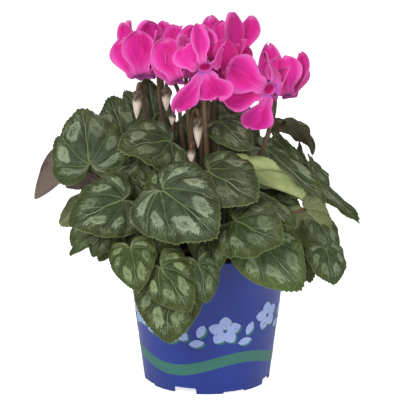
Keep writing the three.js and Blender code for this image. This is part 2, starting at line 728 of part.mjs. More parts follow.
addPiece("pot", potSolid(), "pot");
addPiece("soil", soilSolid(), "soil");
addPiece("tuber", solidOf(tuberGeometry()), "tuber");
for (const node of new Set(LEAVES.map((leaf) => leaf.node))) {
  const leaves = LEAVES.filter((leaf) => leaf.node === node);
  const solids = leaves.map((leaf, order) => leafSolid(leaf, leafSeat(leaves[0], order)));
  addPiece(node, solids.reduce((all, one) => all.add(one)), "leaf");
}
FLOWERS.forEach((flower, i) => {
  addPiece(`flower_${i + 1}_petals`, flowerSolid(flower), "petal");
  addPiece(`flower_${i + 1}_stalk`, flowerStalkSolid(flower), "stalk");
});
BUDS.forEach((bud, i) => {
  const axis = flowerAxis(bud);
  const base = vector(bud.at);
  const start = base.clone().addScaledVector(axis, CLEARANCE);
  addPiece(`bud_${i + 1}_petals`, placed(budGeometry(bud.length, BUD_RADIUS), axis, start), "bud");
  const calyx = placed(calyxGeometry(BUD_RADIUS, 2.5), axis, base);
  const tie = base.clone().addScaledVector(axis, -CALYX_BASE / 2);
  addPiece(`bud_${i + 1}_stalk`, calyx.add(hookedStalk(bud, axis, tie, FLOWER_STALK_RADIUS)), "stalk");
});
YOUNG_BUDS.forEach((bud, i) => {
  const axis = flowerAxis(bud);
  const base = vector(bud.at);
  const body = placed(budGeometry(bud.length, YOUNG_BUD_RADIUS), axis, base);
  const stalk = hookedStalk(bud, axis, base.addScaledVector(axis, 0.8), YOUNG_STALK_RADIUS);
  addPiece(`young_bud_${i + 1}`, body.add(stalk), "stalk");
});

export default plant;
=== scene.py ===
import math
import random

import bmesh
import bpy
from mathutils import Matrix, Quaternion, Vector, noise


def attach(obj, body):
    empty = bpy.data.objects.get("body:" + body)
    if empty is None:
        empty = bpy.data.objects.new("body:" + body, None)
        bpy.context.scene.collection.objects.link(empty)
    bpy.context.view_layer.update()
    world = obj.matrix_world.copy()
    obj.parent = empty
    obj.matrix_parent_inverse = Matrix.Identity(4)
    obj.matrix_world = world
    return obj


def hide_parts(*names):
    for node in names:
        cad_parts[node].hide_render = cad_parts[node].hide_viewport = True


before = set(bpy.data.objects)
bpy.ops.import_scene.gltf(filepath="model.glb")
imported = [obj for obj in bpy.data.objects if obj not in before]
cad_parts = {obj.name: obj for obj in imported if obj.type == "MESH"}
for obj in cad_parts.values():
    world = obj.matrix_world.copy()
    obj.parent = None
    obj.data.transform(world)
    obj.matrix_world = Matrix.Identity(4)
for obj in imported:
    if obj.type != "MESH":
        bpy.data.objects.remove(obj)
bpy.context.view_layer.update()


# Studio
# A pale round floor, a white glow all round and four soft lights. The camera stands a metre in front of the pot, a
# little above the flowers, and looks slightly down.
MM = 0.001
CAMERA_PLACE = Vector((-5.5, -1094, 355)) * MM
CAMERA_DOWN = 10.98
CAMERA_LENS = 127.9
FLOOR_RADIUS = 14.0
FLOOR_WHITE = (0.93, 0.93, 0.93, 1)
WHITE = (1, 1, 1, 1)
FLOOR_GLOW = (0.1, 0.75)
WORLD_GLOW = (0.4, 1.0)
LIT_POINT = Vector((0, 0, 0.15))
LIGHTS = [
    ("key_light", (-0.8, -1.5, 1.1), 0.7, 22),
    ("fill_light", (1.3, -1.2, 0.7), 1.0, 7),
    ("top_light", (0.1, 0.1, 1.7), 0.9, 3),
    ("back_light", (0.3, 1.3, 1.2), 1.0, 4),
]

scene = bpy.context.scene
scene.view_settings.view_transform = "Standard"


def shader_node(tree, kind, inputs=(), **settings):
    """Adds a shader node and feeds its inputs, by name or in order, with values or with other nodes' outputs."""
    made = tree.nodes.new("ShaderNode" + kind)
    for key, value in settings.items():
        setattr(made, key, value)
    for key, value in inputs.items() if isinstance(inputs, dict) else enumerate(inputs):
        value = getattr(value, "socket", value)
        if isinstance(value, bpy.types.NodeSocket):
            tree.links.new(value, made.inputs[key])
        else:
            made.inputs[key].default_value = value
    return made


def new_material(name, **constants):
    """A material, and its Principled shader with its constant sockets set."""
    material = bpy.data.materials.new(name)
    material.use_nodes = True
    shader = material.node_tree.nodes["Principled BSDF"]
    for key, value in constants.items():
        shader.inputs[key.replace("_", " ")].default_value = value
    return material, shader


def mesh_piece(name, bm, materials, smooth=True):
    """Turns a finished bmesh into an object at the origin."""
    mesh = bpy.data.meshes.new(name)
    for face in bm.faces:
        face.smooth = smooth
    bm.to_mesh(mesh)
    bm.free()
    for material in materials:
        mesh.materials.append(material)
    piece = bpy.data.objects.new(name, mesh)
    scene.collection.objects.link(piece)
    return piece


def set_glow(tree, socket, strengths):
    """Makes a glow that lights the plant with the first strength and is seen with the second."""
    seen = shader_node(tree, "LightPath").outputs["Is Camera Ray"]
    glow = shader_node(tree, "MapRange", {"Value": seen, "To Min": strengths[0], "To Max": strengths[1]})
    tree.links.new(glow.outputs["Result"], socket)


floor_bm = bmesh.new()
bmesh.ops.create_circle(floor_bm, cap_ends=True, segments=96, radius=FLOOR_RADIUS)
bmesh.ops.recalc_face_normals(floor_bm, faces=floor_bm.faces)
floor_material, floor_shader = new_material("studio_floor", Base_Color=FLOOR_WHITE, Roughness=0.9, Emission_Color=WHITE)
set_glow(floor_material.node_tree, floor_shader.inputs["Emission Strength"], FLOOR_GLOW)
floor = mesh_piece("studio_floor", floor_bm, [floor_material])

world = bpy.data.worlds.new("studio_glow")
world.use_nodes = True
background = world.node_tree.nodes["Background"]
background.inputs["Color"].default_value = WHITE
set_glow(world.node_tree, background.inputs["Strength"], WORLD_GLOW)
scene.world = world

for name, place, size, watts in LIGHTS:
    data = bpy.data.lights.new(name, "AREA")
    data.size = size
    data.energy = watts
    light = bpy.data.objects.new(name, data)
    light.location = place
    light.rotation_euler = (LIT_POINT - Vector(place)).to_track_quat("-Z", "Y").to_euler()
    scene.collection.objects.link(light)

camera_data = bpy.data.cameras.new("camera")
camera_data.lens = CAMERA_LENS
camera_data.sensor_width = 36
camera = bpy.data.objects.new("camera", camera_data)
camera.location = CAMERA_PLACE
camera.rotation_euler = (math.radians(90 - CAMERA_DOWN), 0, 0)
scene.collection.objects.link(camera)
scene.camera = camera


# Pot
# A tapered pot of thin blue plastic, blown in one piece. It has a slightly wider collar with a small lip, and a skirt
# at the foot with eight notches that let air and water through.
POT_HEIGHT = 107
RIM_RADIUS = 64.2
FOOT_RADIUS = 50
COLLAR_BOTTOM = 82
COLLAR_STEP = 0.9
POT_WALL = 1.4
CHANNEL_HEIGHT = 5
CHANNEL_TOP = CHANNEL_HEIGHT + POT_WALL
FLOOR_DISC_RADIUS = 30
LIP_RADIUS = RIM_RADIUS + 1.1
POT_SIDES = 160
NOTCHES = 8
NOTCH_WIDTH = 18
DEEP_NOTCH, DEEP_ROUNDING = 4.7, 1.2
SHALLOW_NOTCH, SHALLOW_ROUNDING = 1.5, 0.5
FIRST_NOTCH = math.radians(-110)
DRAIN_HOLE_RADIUS = 3.5
DRAIN_HOLE_RING = FOOT_RADIUS - 9
SHARP_ANGLE = math.radians(38)
POT_BLUE = (0.015, 0.042, 0.3, 1)
POT_BLUE_DEEP = (0.011, 0.03, 0.23, 1)
POT_SCUFF = (0.1, 0.17, 0.46, 1)


def pot_radius(z):
    return FOOT_RADIUS + (RIM_RADIUS - COLLAR_STEP - FOOT_RADIUS) * z / POT_HEIGHT


def spun(bm, profile, sides):
    """Spins a profile of (radius, height) points round the Z axis, and gives the new vertices."""
    before = set(bm.verts)
    spoke = [bm.verts.new((r, 0, z)) for r, z in profile]
    edges = [bm.edges.new(pair) for pair in zip(spoke, spoke[1:])]
    bmesh.ops.spin(
        bm, geom=spoke + edges, cent=(0, 0, 0), axis=(0, 0, 1), angle=2 * math.pi, steps=sides, use_merge=True
    )
    bmesh.ops.remove_doubles(bm, verts=[v for v in bm.verts if v not in before], dist=1e-6)
    return [v for v in bm.verts if v not in before]


def turned(profile, sides):
    """A new bmesh, spun from a profile in millimetres."""
    bm = bmesh.new()
    spun(bm, [(r * MM, z * MM) for r, z in profile], sides)
    bmesh.ops.recalc_face_normals(bm, faces=bm.faces)
    return bm


class Field:
    """A number that changes over a surface. Arithmetic with it adds maths nodes to its material or group."""

    def __init__(self, socket):
        self.socket = socket
        self.tree = socket.id_data

    def maths(self, operation, *values):
        return Field(shader_node(self.tree, "Math", (self, *values), operation=operation).outputs[0])

    def __add__(self, other):
        return self.maths("ADD", other)

    def __sub__(self, other):
        return self.maths("SUBTRACT", other)

    def __rsub__(self, other):
        return self.maths("MULTIPLY_ADD", -1.0, other)

    def __mul__(self, other):
        return self.maths("MULTIPLY", other)

    def __truediv__(self, other):
        return self.maths("DIVIDE", other)

    def __abs__(self):
        return self.maths("ABSOLUTE")

    __radd__, __rmul__ = __add__, __mul__

    def larger(self, other):
        return self.maths("MAXIMUM", other)

    def ranged(self, low, high, to_low=0.0, to_high=1.0, kind="SMOOTHSTEP"):
        """Maps it from one range to another, with a soft start and end unless the kind says otherwise."""
        inputs = {"Value": self, "From Min": low, "From Max": high, "To Min": to_low, "To Max": to_high}
        return Field(shader_node(self.tree, "MapRange", inputs, interpolation_type=kind).outputs["Result"])

    def blend(self, first, second):
        """Goes from the first colour to the second as it goes from 0 to 1."""
        return shader_node(self.tree, "Mix", {0: self, 6: first, 7: second}, data_type="RGBA").outputs[2]


def object_place(shader):
    return shader_node(shader.id_data, "TexCoord").outputs["Object"]


def stretched(place, scale, rotation=(0, 0, 0)):
    return shader_node(place.id_data, "Mapping", {"Vector": place, "Scale": scale, "Rotation": rotation}).outputs[0]


def cloud(place, scale, detail=2, roughness=0.5):
    """Soft noise."""
    inputs = {"Vector": place, "Scale": scale, "Detail": detail, "Roughness": roughness}
    return Field(shader_node(place.id_data, "TexNoise", inputs).outputs["Fac"])


def cells(place, scale, feature="DISTANCE_TO_EDGE"):
    """The distance to the edges, or with F1 to the middles, of small irregular cells."""
    made = shader_node(place.id_data, "TexVoronoi", {"Vector": place, "Scale": scale}, feature=feature)
    return Field(made.outputs["Distance"])


def dress(shader, colour, height, strength, depth):
    """Feeds a shader its colour, and its relief from a height that changes over the surface."""
    tree = shader.id_data
    bump = shader_node(tree, "Bump", {"Height": height, "Strength": strength, "Distance": depth})
    tree.links.new(colour, shader.inputs["Base Color"])
    tree.links.new(bump.outputs["Normal"], shader.inputs["Normal"])


pot_profile = [
    (0, 0.3),
    (FLOOR_DISC_RADIUS - 0.6, 0.3),
    (FLOOR_DISC_RADIUS, 0),
    (FLOOR_DISC_RADIUS + 0.8, 0.5),
    (FLOOR_DISC_RADIUS + 3, CHANNEL_HEIGHT),
    (FOOT_RADIUS - 1.8, CHANNEL_HEIGHT),
    (FOOT_RADIUS - 1.5, 0.3),
    (FOOT_RADIUS - 1.1, 0),
    (FOOT_RADIUS - 0.5, 0),
    (FOOT_RADIUS, 0.5),
    (pot_radius(25), 25),
    (pot_radius(50), 50),
    (pot_radius(70), 70),
    (pot_radius(COLLAR_BOTTOM) + 0.05, COLLAR_BOTTOM - 0.5),
    (pot_radius(COLLAR_BOTTOM) + 0.45, COLLAR_BOTTOM - 0.1),
    (pot_radius(COLLAR_BOTTOM) + COLLAR_STEP, COLLAR_BOTTOM + 0.5),
    (RIM_RADIUS - 0.3, POT_HEIGHT - 2.5),
    (LIP_RADIUS - 0.3, POT_HEIGHT - 2.1),
    (LIP_RADIUS, POT_HEIGHT - 1.7),
    (LIP_RADIUS, POT_HEIGHT - 0.5),
    (LIP_RADIUS - 0.5, POT_HEIGHT),
    (RIM_RADIUS - POT_WALL + 0.4, POT_HEIGHT),
    (RIM_RADIUS - POT_WALL, POT_HEIGHT - 0.4),
    (pot_radius(COLLAR_BOTTOM) - POT_WALL + 0.4, COLLAR_BOTTOM),
    (pot_radius(COLLAR_BOTTOM) - POT_WALL, COLLAR_BOTTOM - 1),
    (pot_radius(CHANNEL_TOP) - POT_WALL, CHANNEL_TOP),
    (FLOOR_DISC_RADIUS + 3.6, CHANNEL_TOP),
    (FLOOR_DISC_RADIUS - 0.4, POT_WALL),
    (0, POT_WALL),
]

pot_material, pot_shader = new_material("pot_plastic", Specular_IOR_Level=0.45)
pot_place = object_place(pot_shader)
pot_body = cloud(pot_place, 28, 3).blend(POT_BLUE_DEEP, POT_BLUE)
scuffs = cloud(stretched(pot_place, (1, 1, 5), (0.3, 0.5, 0)), 190, 5, 0.65).ranged(0.64, 0.74, 0, 0.55, "LINEAR")
specks = cells(pot_place, 150, "F1").ranged(0.11, 0.05, 0, 0.7, "LINEAR")
wear = scuffs.larger(specks * cloud(pot_place, 60, 1).ranged(0.6, 0.66, kind="LINEAR"))
pot_gloss = wear.ranged(0, 1, 0.4, 0.68, "LINEAR")
pot_material.node_tree.links.new(pot_gloss.socket, pot_shader.inputs["Roughness"])
dress(pot_shader, wear.blend(pot_body, POT_SCUFF), cloud(pot_place, 420), 0.12, 0.0006)

pot = mesh_piece("nursery_pot", turned(pot_profile, POT_SIDES), [pot_material])

cutter_bm = bmesh.new()
for i in range(NOTCHES):
    turn = Matrix.Rotation(FIRST_NOTCH + i * 2 * math.pi / NOTCHES, 4, "Z")
    depth, rounding = (SHALLOW_NOTCH, SHALLOW_ROUNDING) if i % 2 else (DEEP_NOTCH, DEEP_ROUNDING)
    block = bmesh.ops.create_cube(cutter_bm, size=1)["verts"]
    bmesh.ops.scale(cutter_bm, vec=(12 * MM, NOTCH_WIDTH * MM, 2 * depth * MM), verts=block)
    bmesh.ops.translate(cutter_bm, vec=(FOOT_RADIUS * MM, 0, 0), verts=block)
    bmesh.ops.transform(cutter_bm, matrix=turn, verts=block)
    top_edges = [e for e in {e for v in block for e in v.link_edges} if min(v.co.z for v in e.verts) > 0]
    bmesh.ops.bevel(
        cutter_bm, geom=top_edges, offset=rounding * MM, segments=3, profile=0.5, affect="EDGES", material=-1
    )
    hole = bmesh.ops.create_cone(
        cutter_bm, cap_ends=True, segments=24, radius1=DRAIN_HOLE_RADIUS * MM, radius2=DRAIN_HOLE_RADIUS * MM,
        depth=8 * MM,
    )["verts"]
    bmesh.ops.translate(cutter_bm, vec=(DRAIN_HOLE_RING * MM, 0, CHANNEL_HEIGHT * MM), verts=hole)
    bmesh.ops.transform(cutter_bm, matrix=turn @ Matrix.Rotation(math.pi / NOTCHES, 4, "Z"), verts=hole)
cutter = mesh_piece("notch_cutter", cutter_bm, [pot_material], smooth=False)
cut = pot.modifiers.new("notches", "BOOLEAN")
cut.operation = "DIFFERENCE"
cut.object = cutter
cut.solver = "EXACT"
pot_cut_mesh = bpy.data.meshes.new_from_object(pot.evaluated_get(bpy.context.evaluated_depsgraph_get()))
pot.modifiers.clear()
pot.data = pot_cut_mesh
bpy.data.objects.remove(cutter)
pot.data.set_sharp_from_angle(angle=SHARP_ANGLE)
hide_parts("pot")
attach(pot, "root")


# Print on the pot
# A plain printed pattern of pale five-petalled flowers with small leaves between them, over a green wavy ribbon. Each
# pale shape has a green shadow. The ink lies on the wall in two thin layers.
INK_LIFT = 0.12
INK_PALE = (0.34, 0.43, 0.76, 1)
INK_GREEN = (0.035, 0.17, 0.13, 1)
GIRTH = 2 * math.pi * FOOT_RADIUS
PRINTED_FLOWERS = 9
FIRST_PRINT = 12
PRINT_HEIGHT, PRINT_STAGGER = 52, 7
PRINTED_PETAL = (10.5, 8.6)
PRINTED_PETAL_RING = 6.4
PRINTED_LEAF = (11, 6)
SHADOW_SHIFT = (1.3, -1.3)
RIBBON_HEIGHT, RIBBON_SWING, RIBBON_WIDTH = 24, 5, 9
RIBBON_PERIOD = GIRTH / 3

ink_materials = []
for ink_name, ink_colour in (("ink_pale", INK_PALE), ("ink_green", INK_GREEN)):
    material, shader = new_material(ink_name, Roughness=0.5)
    rubbed = cloud(object_place(shader), 240, 4, 0.7).ranged(0.58, 0.72, 0, 0.6, "LINEAR")
    material.node_tree.links.new(rubbed.blend(ink_colour, POT_BLUE), shader.inputs["Base Color"])
    ink_materials.append(material)


def on_pot_wall(across, height, lift):
    """The point of the wall at a distance round the pot from its front, and at a height, in millimetres."""
    angle = across / FOOT_RADIUS - math.pi / 2
    radius = pot_radius(height) + lift
    return Vector((radius * math.cos(angle), radius * math.sin(angle), height)) * MM


def print_leaf(bm, centre, angle, size, lift):
    """A pointed oval of ink."""
    for v in spun(bm, [(r / 5, 0) for r in range(6)], 24):
        reach = math.hypot(v.co.x, v.co.y)
        turn = math.atan2(v.co.y, v.co.x)
        along = size[0] / 2 * reach * math.cos(turn)
        across = size[1] / 2 * reach * math.sin(turn) * abs(math.sin(turn)) ** 0.7
        s = centre[0] + along * math.cos(angle) - across * math.sin(angle)
        t = centre[1] + along * math.sin(angle) + across * math.cos(angle)
        v.co = on_pot_wall(s, t, lift)


pale_bm, green_bm = bmesh.new(), bmesh.new()
for k in range(PRINTED_FLOWERS):
    for bm, (dx, dz), lift in ((pale_bm, (0, 0), 2 * INK_LIFT), (green_bm, SHADOW_SHIFT, INK_LIFT)):
        across = FIRST_PRINT + k * GIRTH / PRINTED_FLOWERS + dx
        height = PRINT_HEIGHT + PRINT_STAGGER * (k % 2) + dz
        for n in range(5):
            turn = math.radians(90 + 72 * n + 11 * k)
            centre = (across + PRINTED_PETAL_RING * math.cos(turn), height + PRINTED_PETAL_RING * math.sin(turn))
            print_leaf(bm, centre, turn, PRINTED_PETAL, lift)
        for side in (-1, 1):
            print_leaf(bm, (across + 17 + side * 1.6, height - 5 + side * 5), 0.7 + side * 0.5, PRINTED_LEAF, lift)
for v in bmesh.ops.create_grid(green_bm, x_segments=300, y_segments=4, size=1)["verts"]:
    share = (v.co.x + 1) / 2
    across = (share - 0.5) * (GIRTH - 1)
    half = RIBBON_WIDTH / 2 * min(1, 6 * share, 6 * (1 - share)) ** 0.5
    height = RIBBON_HEIGHT + RIBBON_SWING * math.sin(2 * math.pi * across / RIBBON_PERIOD) + v.co.y * half
    v.co = on_pot_wall(across, height, INK_LIFT)
for bm, ink, name in zip((pale_bm, green_bm), ink_materials, ("pot_print_pale", "pot_print_green")):
    bmesh.ops.remove_doubles(bm, verts=bm.verts, dist=1e-6)
    bmesh.ops.recalc_face_normals(bm, faces=bm.faces)
    for face in bm.faces:
        if face.normal.xy.dot(face.calc_center_median().xy) < 0:
            face.normal_flip()
    piece = mesh_piece(name, bm, [ink])
    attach(piece, "root")


# Soil
# Dark, crumbly potting soil that fills the pot to a little under its collar, with the tuber pressed into its middle.
# Loose crumbs lie on it.
SOIL_LEVEL = 94
SOIL_GAP = 0.5
SOIL_SHELF = 7
SOIL_TAPER_TOP = SOIL_LEVEL - 14
CRUMBS = 420
SOIL_DARK = (0.012, 0.008, 0.006, 1)
SOIL_BROWN = (0.05, 0.03, 0.02, 1)
TUBER_RADIUS = 27
TUBER_HALF_HEIGHT = 17
TUBER_MIDDLE = 93

soil_material, soil_shader = new_material("potting_soil", Roughness=0.95)
soil_grain = cloud(object_place(soil_shader), 260, 6, 0.7)
dress(soil_shader, soil_grain.ranged(0.4, 0.65, kind="LINEAR").blend(SOIL_DARK, SOIL_BROWN), soil_grain, 0.9, 0.0012)


def crumble(x, y):
    """The height of the soil's surface over its level, in millimetres."""
    return 1.6 * noise.noise(Vector((x * 0.09, y * 0.09, 3))) + 1.0 * noise.noise(Vector((x * 0.4, y * 0.4, 7)))


soil_inner = pot_radius(SOIL_TAPER_TOP) - POT_WALL - SOIL_GAP
soil_profile = [(0, 2), (FLOOR_DISC_RADIUS - 1, 2), (FLOOR_DISC_RADIUS + 3, SOIL_SHELF)]
soil_profile += [(pot_radius(SOIL_SHELF) - POT_WALL - SOIL_GAP, SOIL_SHELF), (soil_inner, SOIL_TAPER_TOP)]
soil_profile += [(soil_inner, SOIL_LEVEL - 3), (soil_inner - 1, SOIL_LEVEL)]
soil_profile += [(r, SOIL_LEVEL) for r in range(56, 27, -1)]
soil_profile += [(TUBER_RADIUS + 0.2, SOIL_LEVEL - 1.5), (TUBER_RADIUS - 3, SOIL_LEVEL - 9), (0, SOIL_LEVEL - 17)]
soil_bm = turned(soil_profile, 120)
for v in soil_bm.verts:
    if v.co.z > (SOIL_LEVEL - 2) * MM:
        v.co.z += crumble(v.co.x / MM, v.co.y / MM) * MM
chance = random.Random(7)
for _ in range(CRUMBS):
    reach = TUBER_RADIUS + 1 + 27 * math.sqrt(chance.random())
    turn = chance.uniform(0, 2 * math.pi)
    x, y = reach * math.cos(turn), reach * math.sin(turn)
    size = chance.uniform(0.5, 1.7)
    verts = bmesh.ops.create_icosphere(soil_bm, subdivisions=1, radius=size * MM)["verts"]
    for v in verts:
        v.co *= chance.uniform(0.75, 1.25)
    place = Vector((x, y, SOIL_LEVEL + crumble(x, y) + 0.2 * size)) * MM
    bmesh.ops.scale(soil_bm, vec=(1, 1, 0.7), verts=verts)
    bmesh.ops.translate(soil_bm, vec=place, verts=verts)
soil = mesh_piece("potting_soil", soil_bm, [soil_material])
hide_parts("soil")
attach(soil, "root")


# Tuber
# The round, flattened corm from which every stalk grows. It stands half out of the soil, and its corky brown skin is
# rough and cracked.
CORK_DARK = (0.045, 0.024, 0.015, 1)
CORK_LIGHT = (0.17, 0.1, 0.06, 1)
INSIDE_SOLID = 0.985

tuber_material, tuber_shader = new_material("cork_skin", Roughness=0.9)
tuber_place = object_place(tuber_shader)
cork = cloud(tuber_place, 120, 6, 0.65) * cells(tuber_place, 160).ranged(0, 0.12, kind="LINEAR")
dress(tuber_shader, cork.blend(CORK_DARK, CORK_LIGHT), cork, 0.8, 0.001)

tuber_bm = bmesh.new()
bmesh.ops.create_icosphere(tuber_bm, subdivisions=5, radius=1)
for v in tuber_bm.verts:
    lumps = 1 + 0.02 * noise.noise(v.co * 3) + 0.012 * noise.noise(v.co * 9)
    corm = Vector((v.co.x * TUBER_RADIUS, v.co.y * TUBER_RADIUS, v.co.z * TUBER_HALF_HEIGHT))
    v.co = corm * INSIDE_SOLID * lumps * MM
bmesh.ops.translate(tuber_bm, vec=(0, 0, TUBER_MIDDLE * MM), verts=tuber_bm.verts)
tuber = mesh_piece("corky_tuber", tuber_bm, [tuber_material])
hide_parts("tuber")
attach(tuber, "root")


# Stalks
# Every leaf and flower grows on its own round, fleshy stalk from the tuber's crown. Stalks are brown-olive, redder
# towards the tuber, with a fine streaky skin.
STALK_RED = (0.12, 0.035, 0.024, 1)
STALK_OLIVE = (0.115, 0.085, 0.032, 1)
ROOT_DEPTH = 1.5


def parts(vector):
    """The three numbers of a vector."""
    return [Field(part) for part in shader_node(vector.id_data, "SeparateXYZ", (vector,)).outputs]


def shaded(colour, brightness):
    return shader_node(colour.id_data, "HueSaturation", {"Color": colour, "Value": brightness}).outputs["Color"]


stalk_material, stalk_shader = new_material(
    "stalk_skin", Roughness=0.42, Subsurface_Weight=0.08, Subsurface_Radius=(0.002, 0.001, 0.0005)
)
stalk_place = object_place(stalk_shader)
stalk_streaks = cloud(stretched(stalk_place, (1, 1, 0.12)), 700, 4)
stalk_rise = parts(stalk_place)[2].ranged(0.1, 0.24, kind="LINEAR")
stalk_base = (cloud(stalk_place, 45) * stalk_rise + 0.25).blend(STALK_RED, STALK_OLIVE)
stalk_colour = shaded(stalk_base, stalk_streaks.ranged(0.3, 0.7, 0.65, 1, "LINEAR"))
dress(stalk_shader, stalk_colour, stalk_streaks, 0.4, 0.0003)


def crown_seat(azimuth, radius):
    """Where a stalk starts, a little inside the tuber's crown, and the way out of the tuber there."""
    x = radius * math.cos(azimuth)
    y = radius * math.sin(azimuth)
    z = TUBER_HALF_HEIGHT * math.sqrt(1 - (radius / TUBER_RADIUS) ** 2)
    out = Vector((x, y, z * (TUBER_RADIUS / TUBER_HALF_HEIGHT) ** 2)).normalized()
    return Vector((x, y, TUBER_MIDDLE + z)) - ROOT_DEPTH * out, out


def bezier(points, steps):
    """Evenly stepped points of a cubic curve."""
    a, b, c, d = points
    shares = [k / steps for k in range(steps + 1)]
    return [a * (1 - t) ** 3 + b * 3 * t * (1 - t) ** 2 + c * 3 * t * t * (1 - t) + d * t ** 3 for t in shares]


def grow_stalk(bm, path, radii, sides, material_index=0):
    """Extrudes a ring along a path, turning and sizing it at each step, and closes both ends."""
    headings = [(b - a).normalized() for a, b in zip(path, path[1:])]
    headings = [headings[0]] + [(a + b).normalized() for a, b in zip(headings, headings[1:])] + [headings[-1]]
    face_up = Vector((0, 0, 1)).rotation_difference(headings[0]).to_matrix().to_4x4()
    ring = bmesh.ops.create_circle(
        bm, segments=sides, radius=radii[0] * MM, matrix=Matrix.Translation(path[0] * MM) @ face_up
    )["verts"]
    edges = list({e for v in ring for e in v.link_edges})
    made = bmesh.ops.edgeloop_fill(bm, edges=edges)["faces"]
    for k in range(1, len(path)):
        grown = bmesh.ops.extrude_edge_only(bm, edges=edges)["geom"]
        verts = [g for g in grown if isinstance(g, bmesh.types.BMVert)]
        made += [g for g in grown if isinstance(g, bmesh.types.BMFace)]
        ring = set(verts)
        edges = [g for g in grown if isinstance(g, bmesh.types.BMEdge) and set(g.verts) <= ring]
        turn = headings[k - 1].rotation_difference(headings[k]).to_matrix().to_4x4()
        size = Matrix.Scale(radii[k] / radii[k - 1], 4)
        step = Matrix.Translation(path[k] * MM) @ turn @ size @ Matrix.Translation(-path[k - 1] * MM)
        bmesh.ops.transform(bm, matrix=step, verts=verts)
    made += bmesh.ops.edgeloop_fill(bm, edges=edges)["faces"]
    for face in made:
        face.material_index = material_index
    return made


# Leaves
# Heart-shaped, fleshy leaves, each on its own stalk. The upper side is dark grey-green with pale veins and a broken
# silver ring, the underside is pale olive or pinkish brown, and the edge is finely toothed.
LEAF_THICKNESS = 0.7
LEAF_STALK_RADIUS = 1.5
LEAF_STALK_STEPS = 18
OUTLINE_CENTRE = 0.13
SHOULDER = 0.61
TEMPLE = 1.55
STALK_INSET = 1.6
BLADE_DROOP = 20
BLADE_CUP = math.radians(20)
EDGE_WAVE = 1.5
EDGE_RUFFLE, FINE_RUFFLE = 1.3, 0.5
EDGE_ROLL = 1.6
BROAD_RIPPLE, FINE_RIPPLE = 1.1, 0.6
PUCKER = 2.0
GROOVE = 0.06
TOOTH_DEPTH = 0.03
MIDDLE_HALF_WIDTH = 25
LEAF_SPOKES = 140
LEAF_RINGS = [0, 0.09, 0.18, 0.27, 0.36, 0.45, 0.54, 0.62, 0.7, 0.77, 0.84, 0.9, 0.95, 0.98, 0.994, 1]
VEIN_SPACING = 0.77
VEIN_BEND = 0.42
VEIN_WANDER = 0.05
WANDER_SEED = 1795874321
VEIN_FORKS = ((0.33, 0.42), (0.6, 0.45))
LEAF_COOL_GREEN = (0.036, 0.055, 0.024, 1)
LEAF_WARM_GREEN = (0.037, 0.056, 0.005, 1)
LEAF_SILVER = (0.31, 0.37, 0.24, 1)
LEAF_SILVER_WARM = (0.27, 0.35, 0.14, 1)
VEIN_YELLOW = (0.18, 0.24, 0.08, 1)
VEIN_SILVER = (0.38, 0.45, 0.3, 1)
LEAF_MARGIN = (0.17, 0.22, 0.08, 1)
UNDER_GREEN = (0.25, 0.29, 0.12, 1)
UNDER_BROWN = (0.19, 0.135, 0.115, 1)
UNDER_VEIN_GREEN = (0.36, 0.38, 0.19, 1)
UNDER_VEIN_BROWN = (0.3, 0.17, 0.13, 1)


def leaf_row(node, heel, tip, width, face, **more):
    """One blade: where its stalk ends, its tip, its width in millimetres and the way that its upper side faces."""
    return {"node": node, "heel": heel, "tip": tip, "width": width, "face": face, **more}


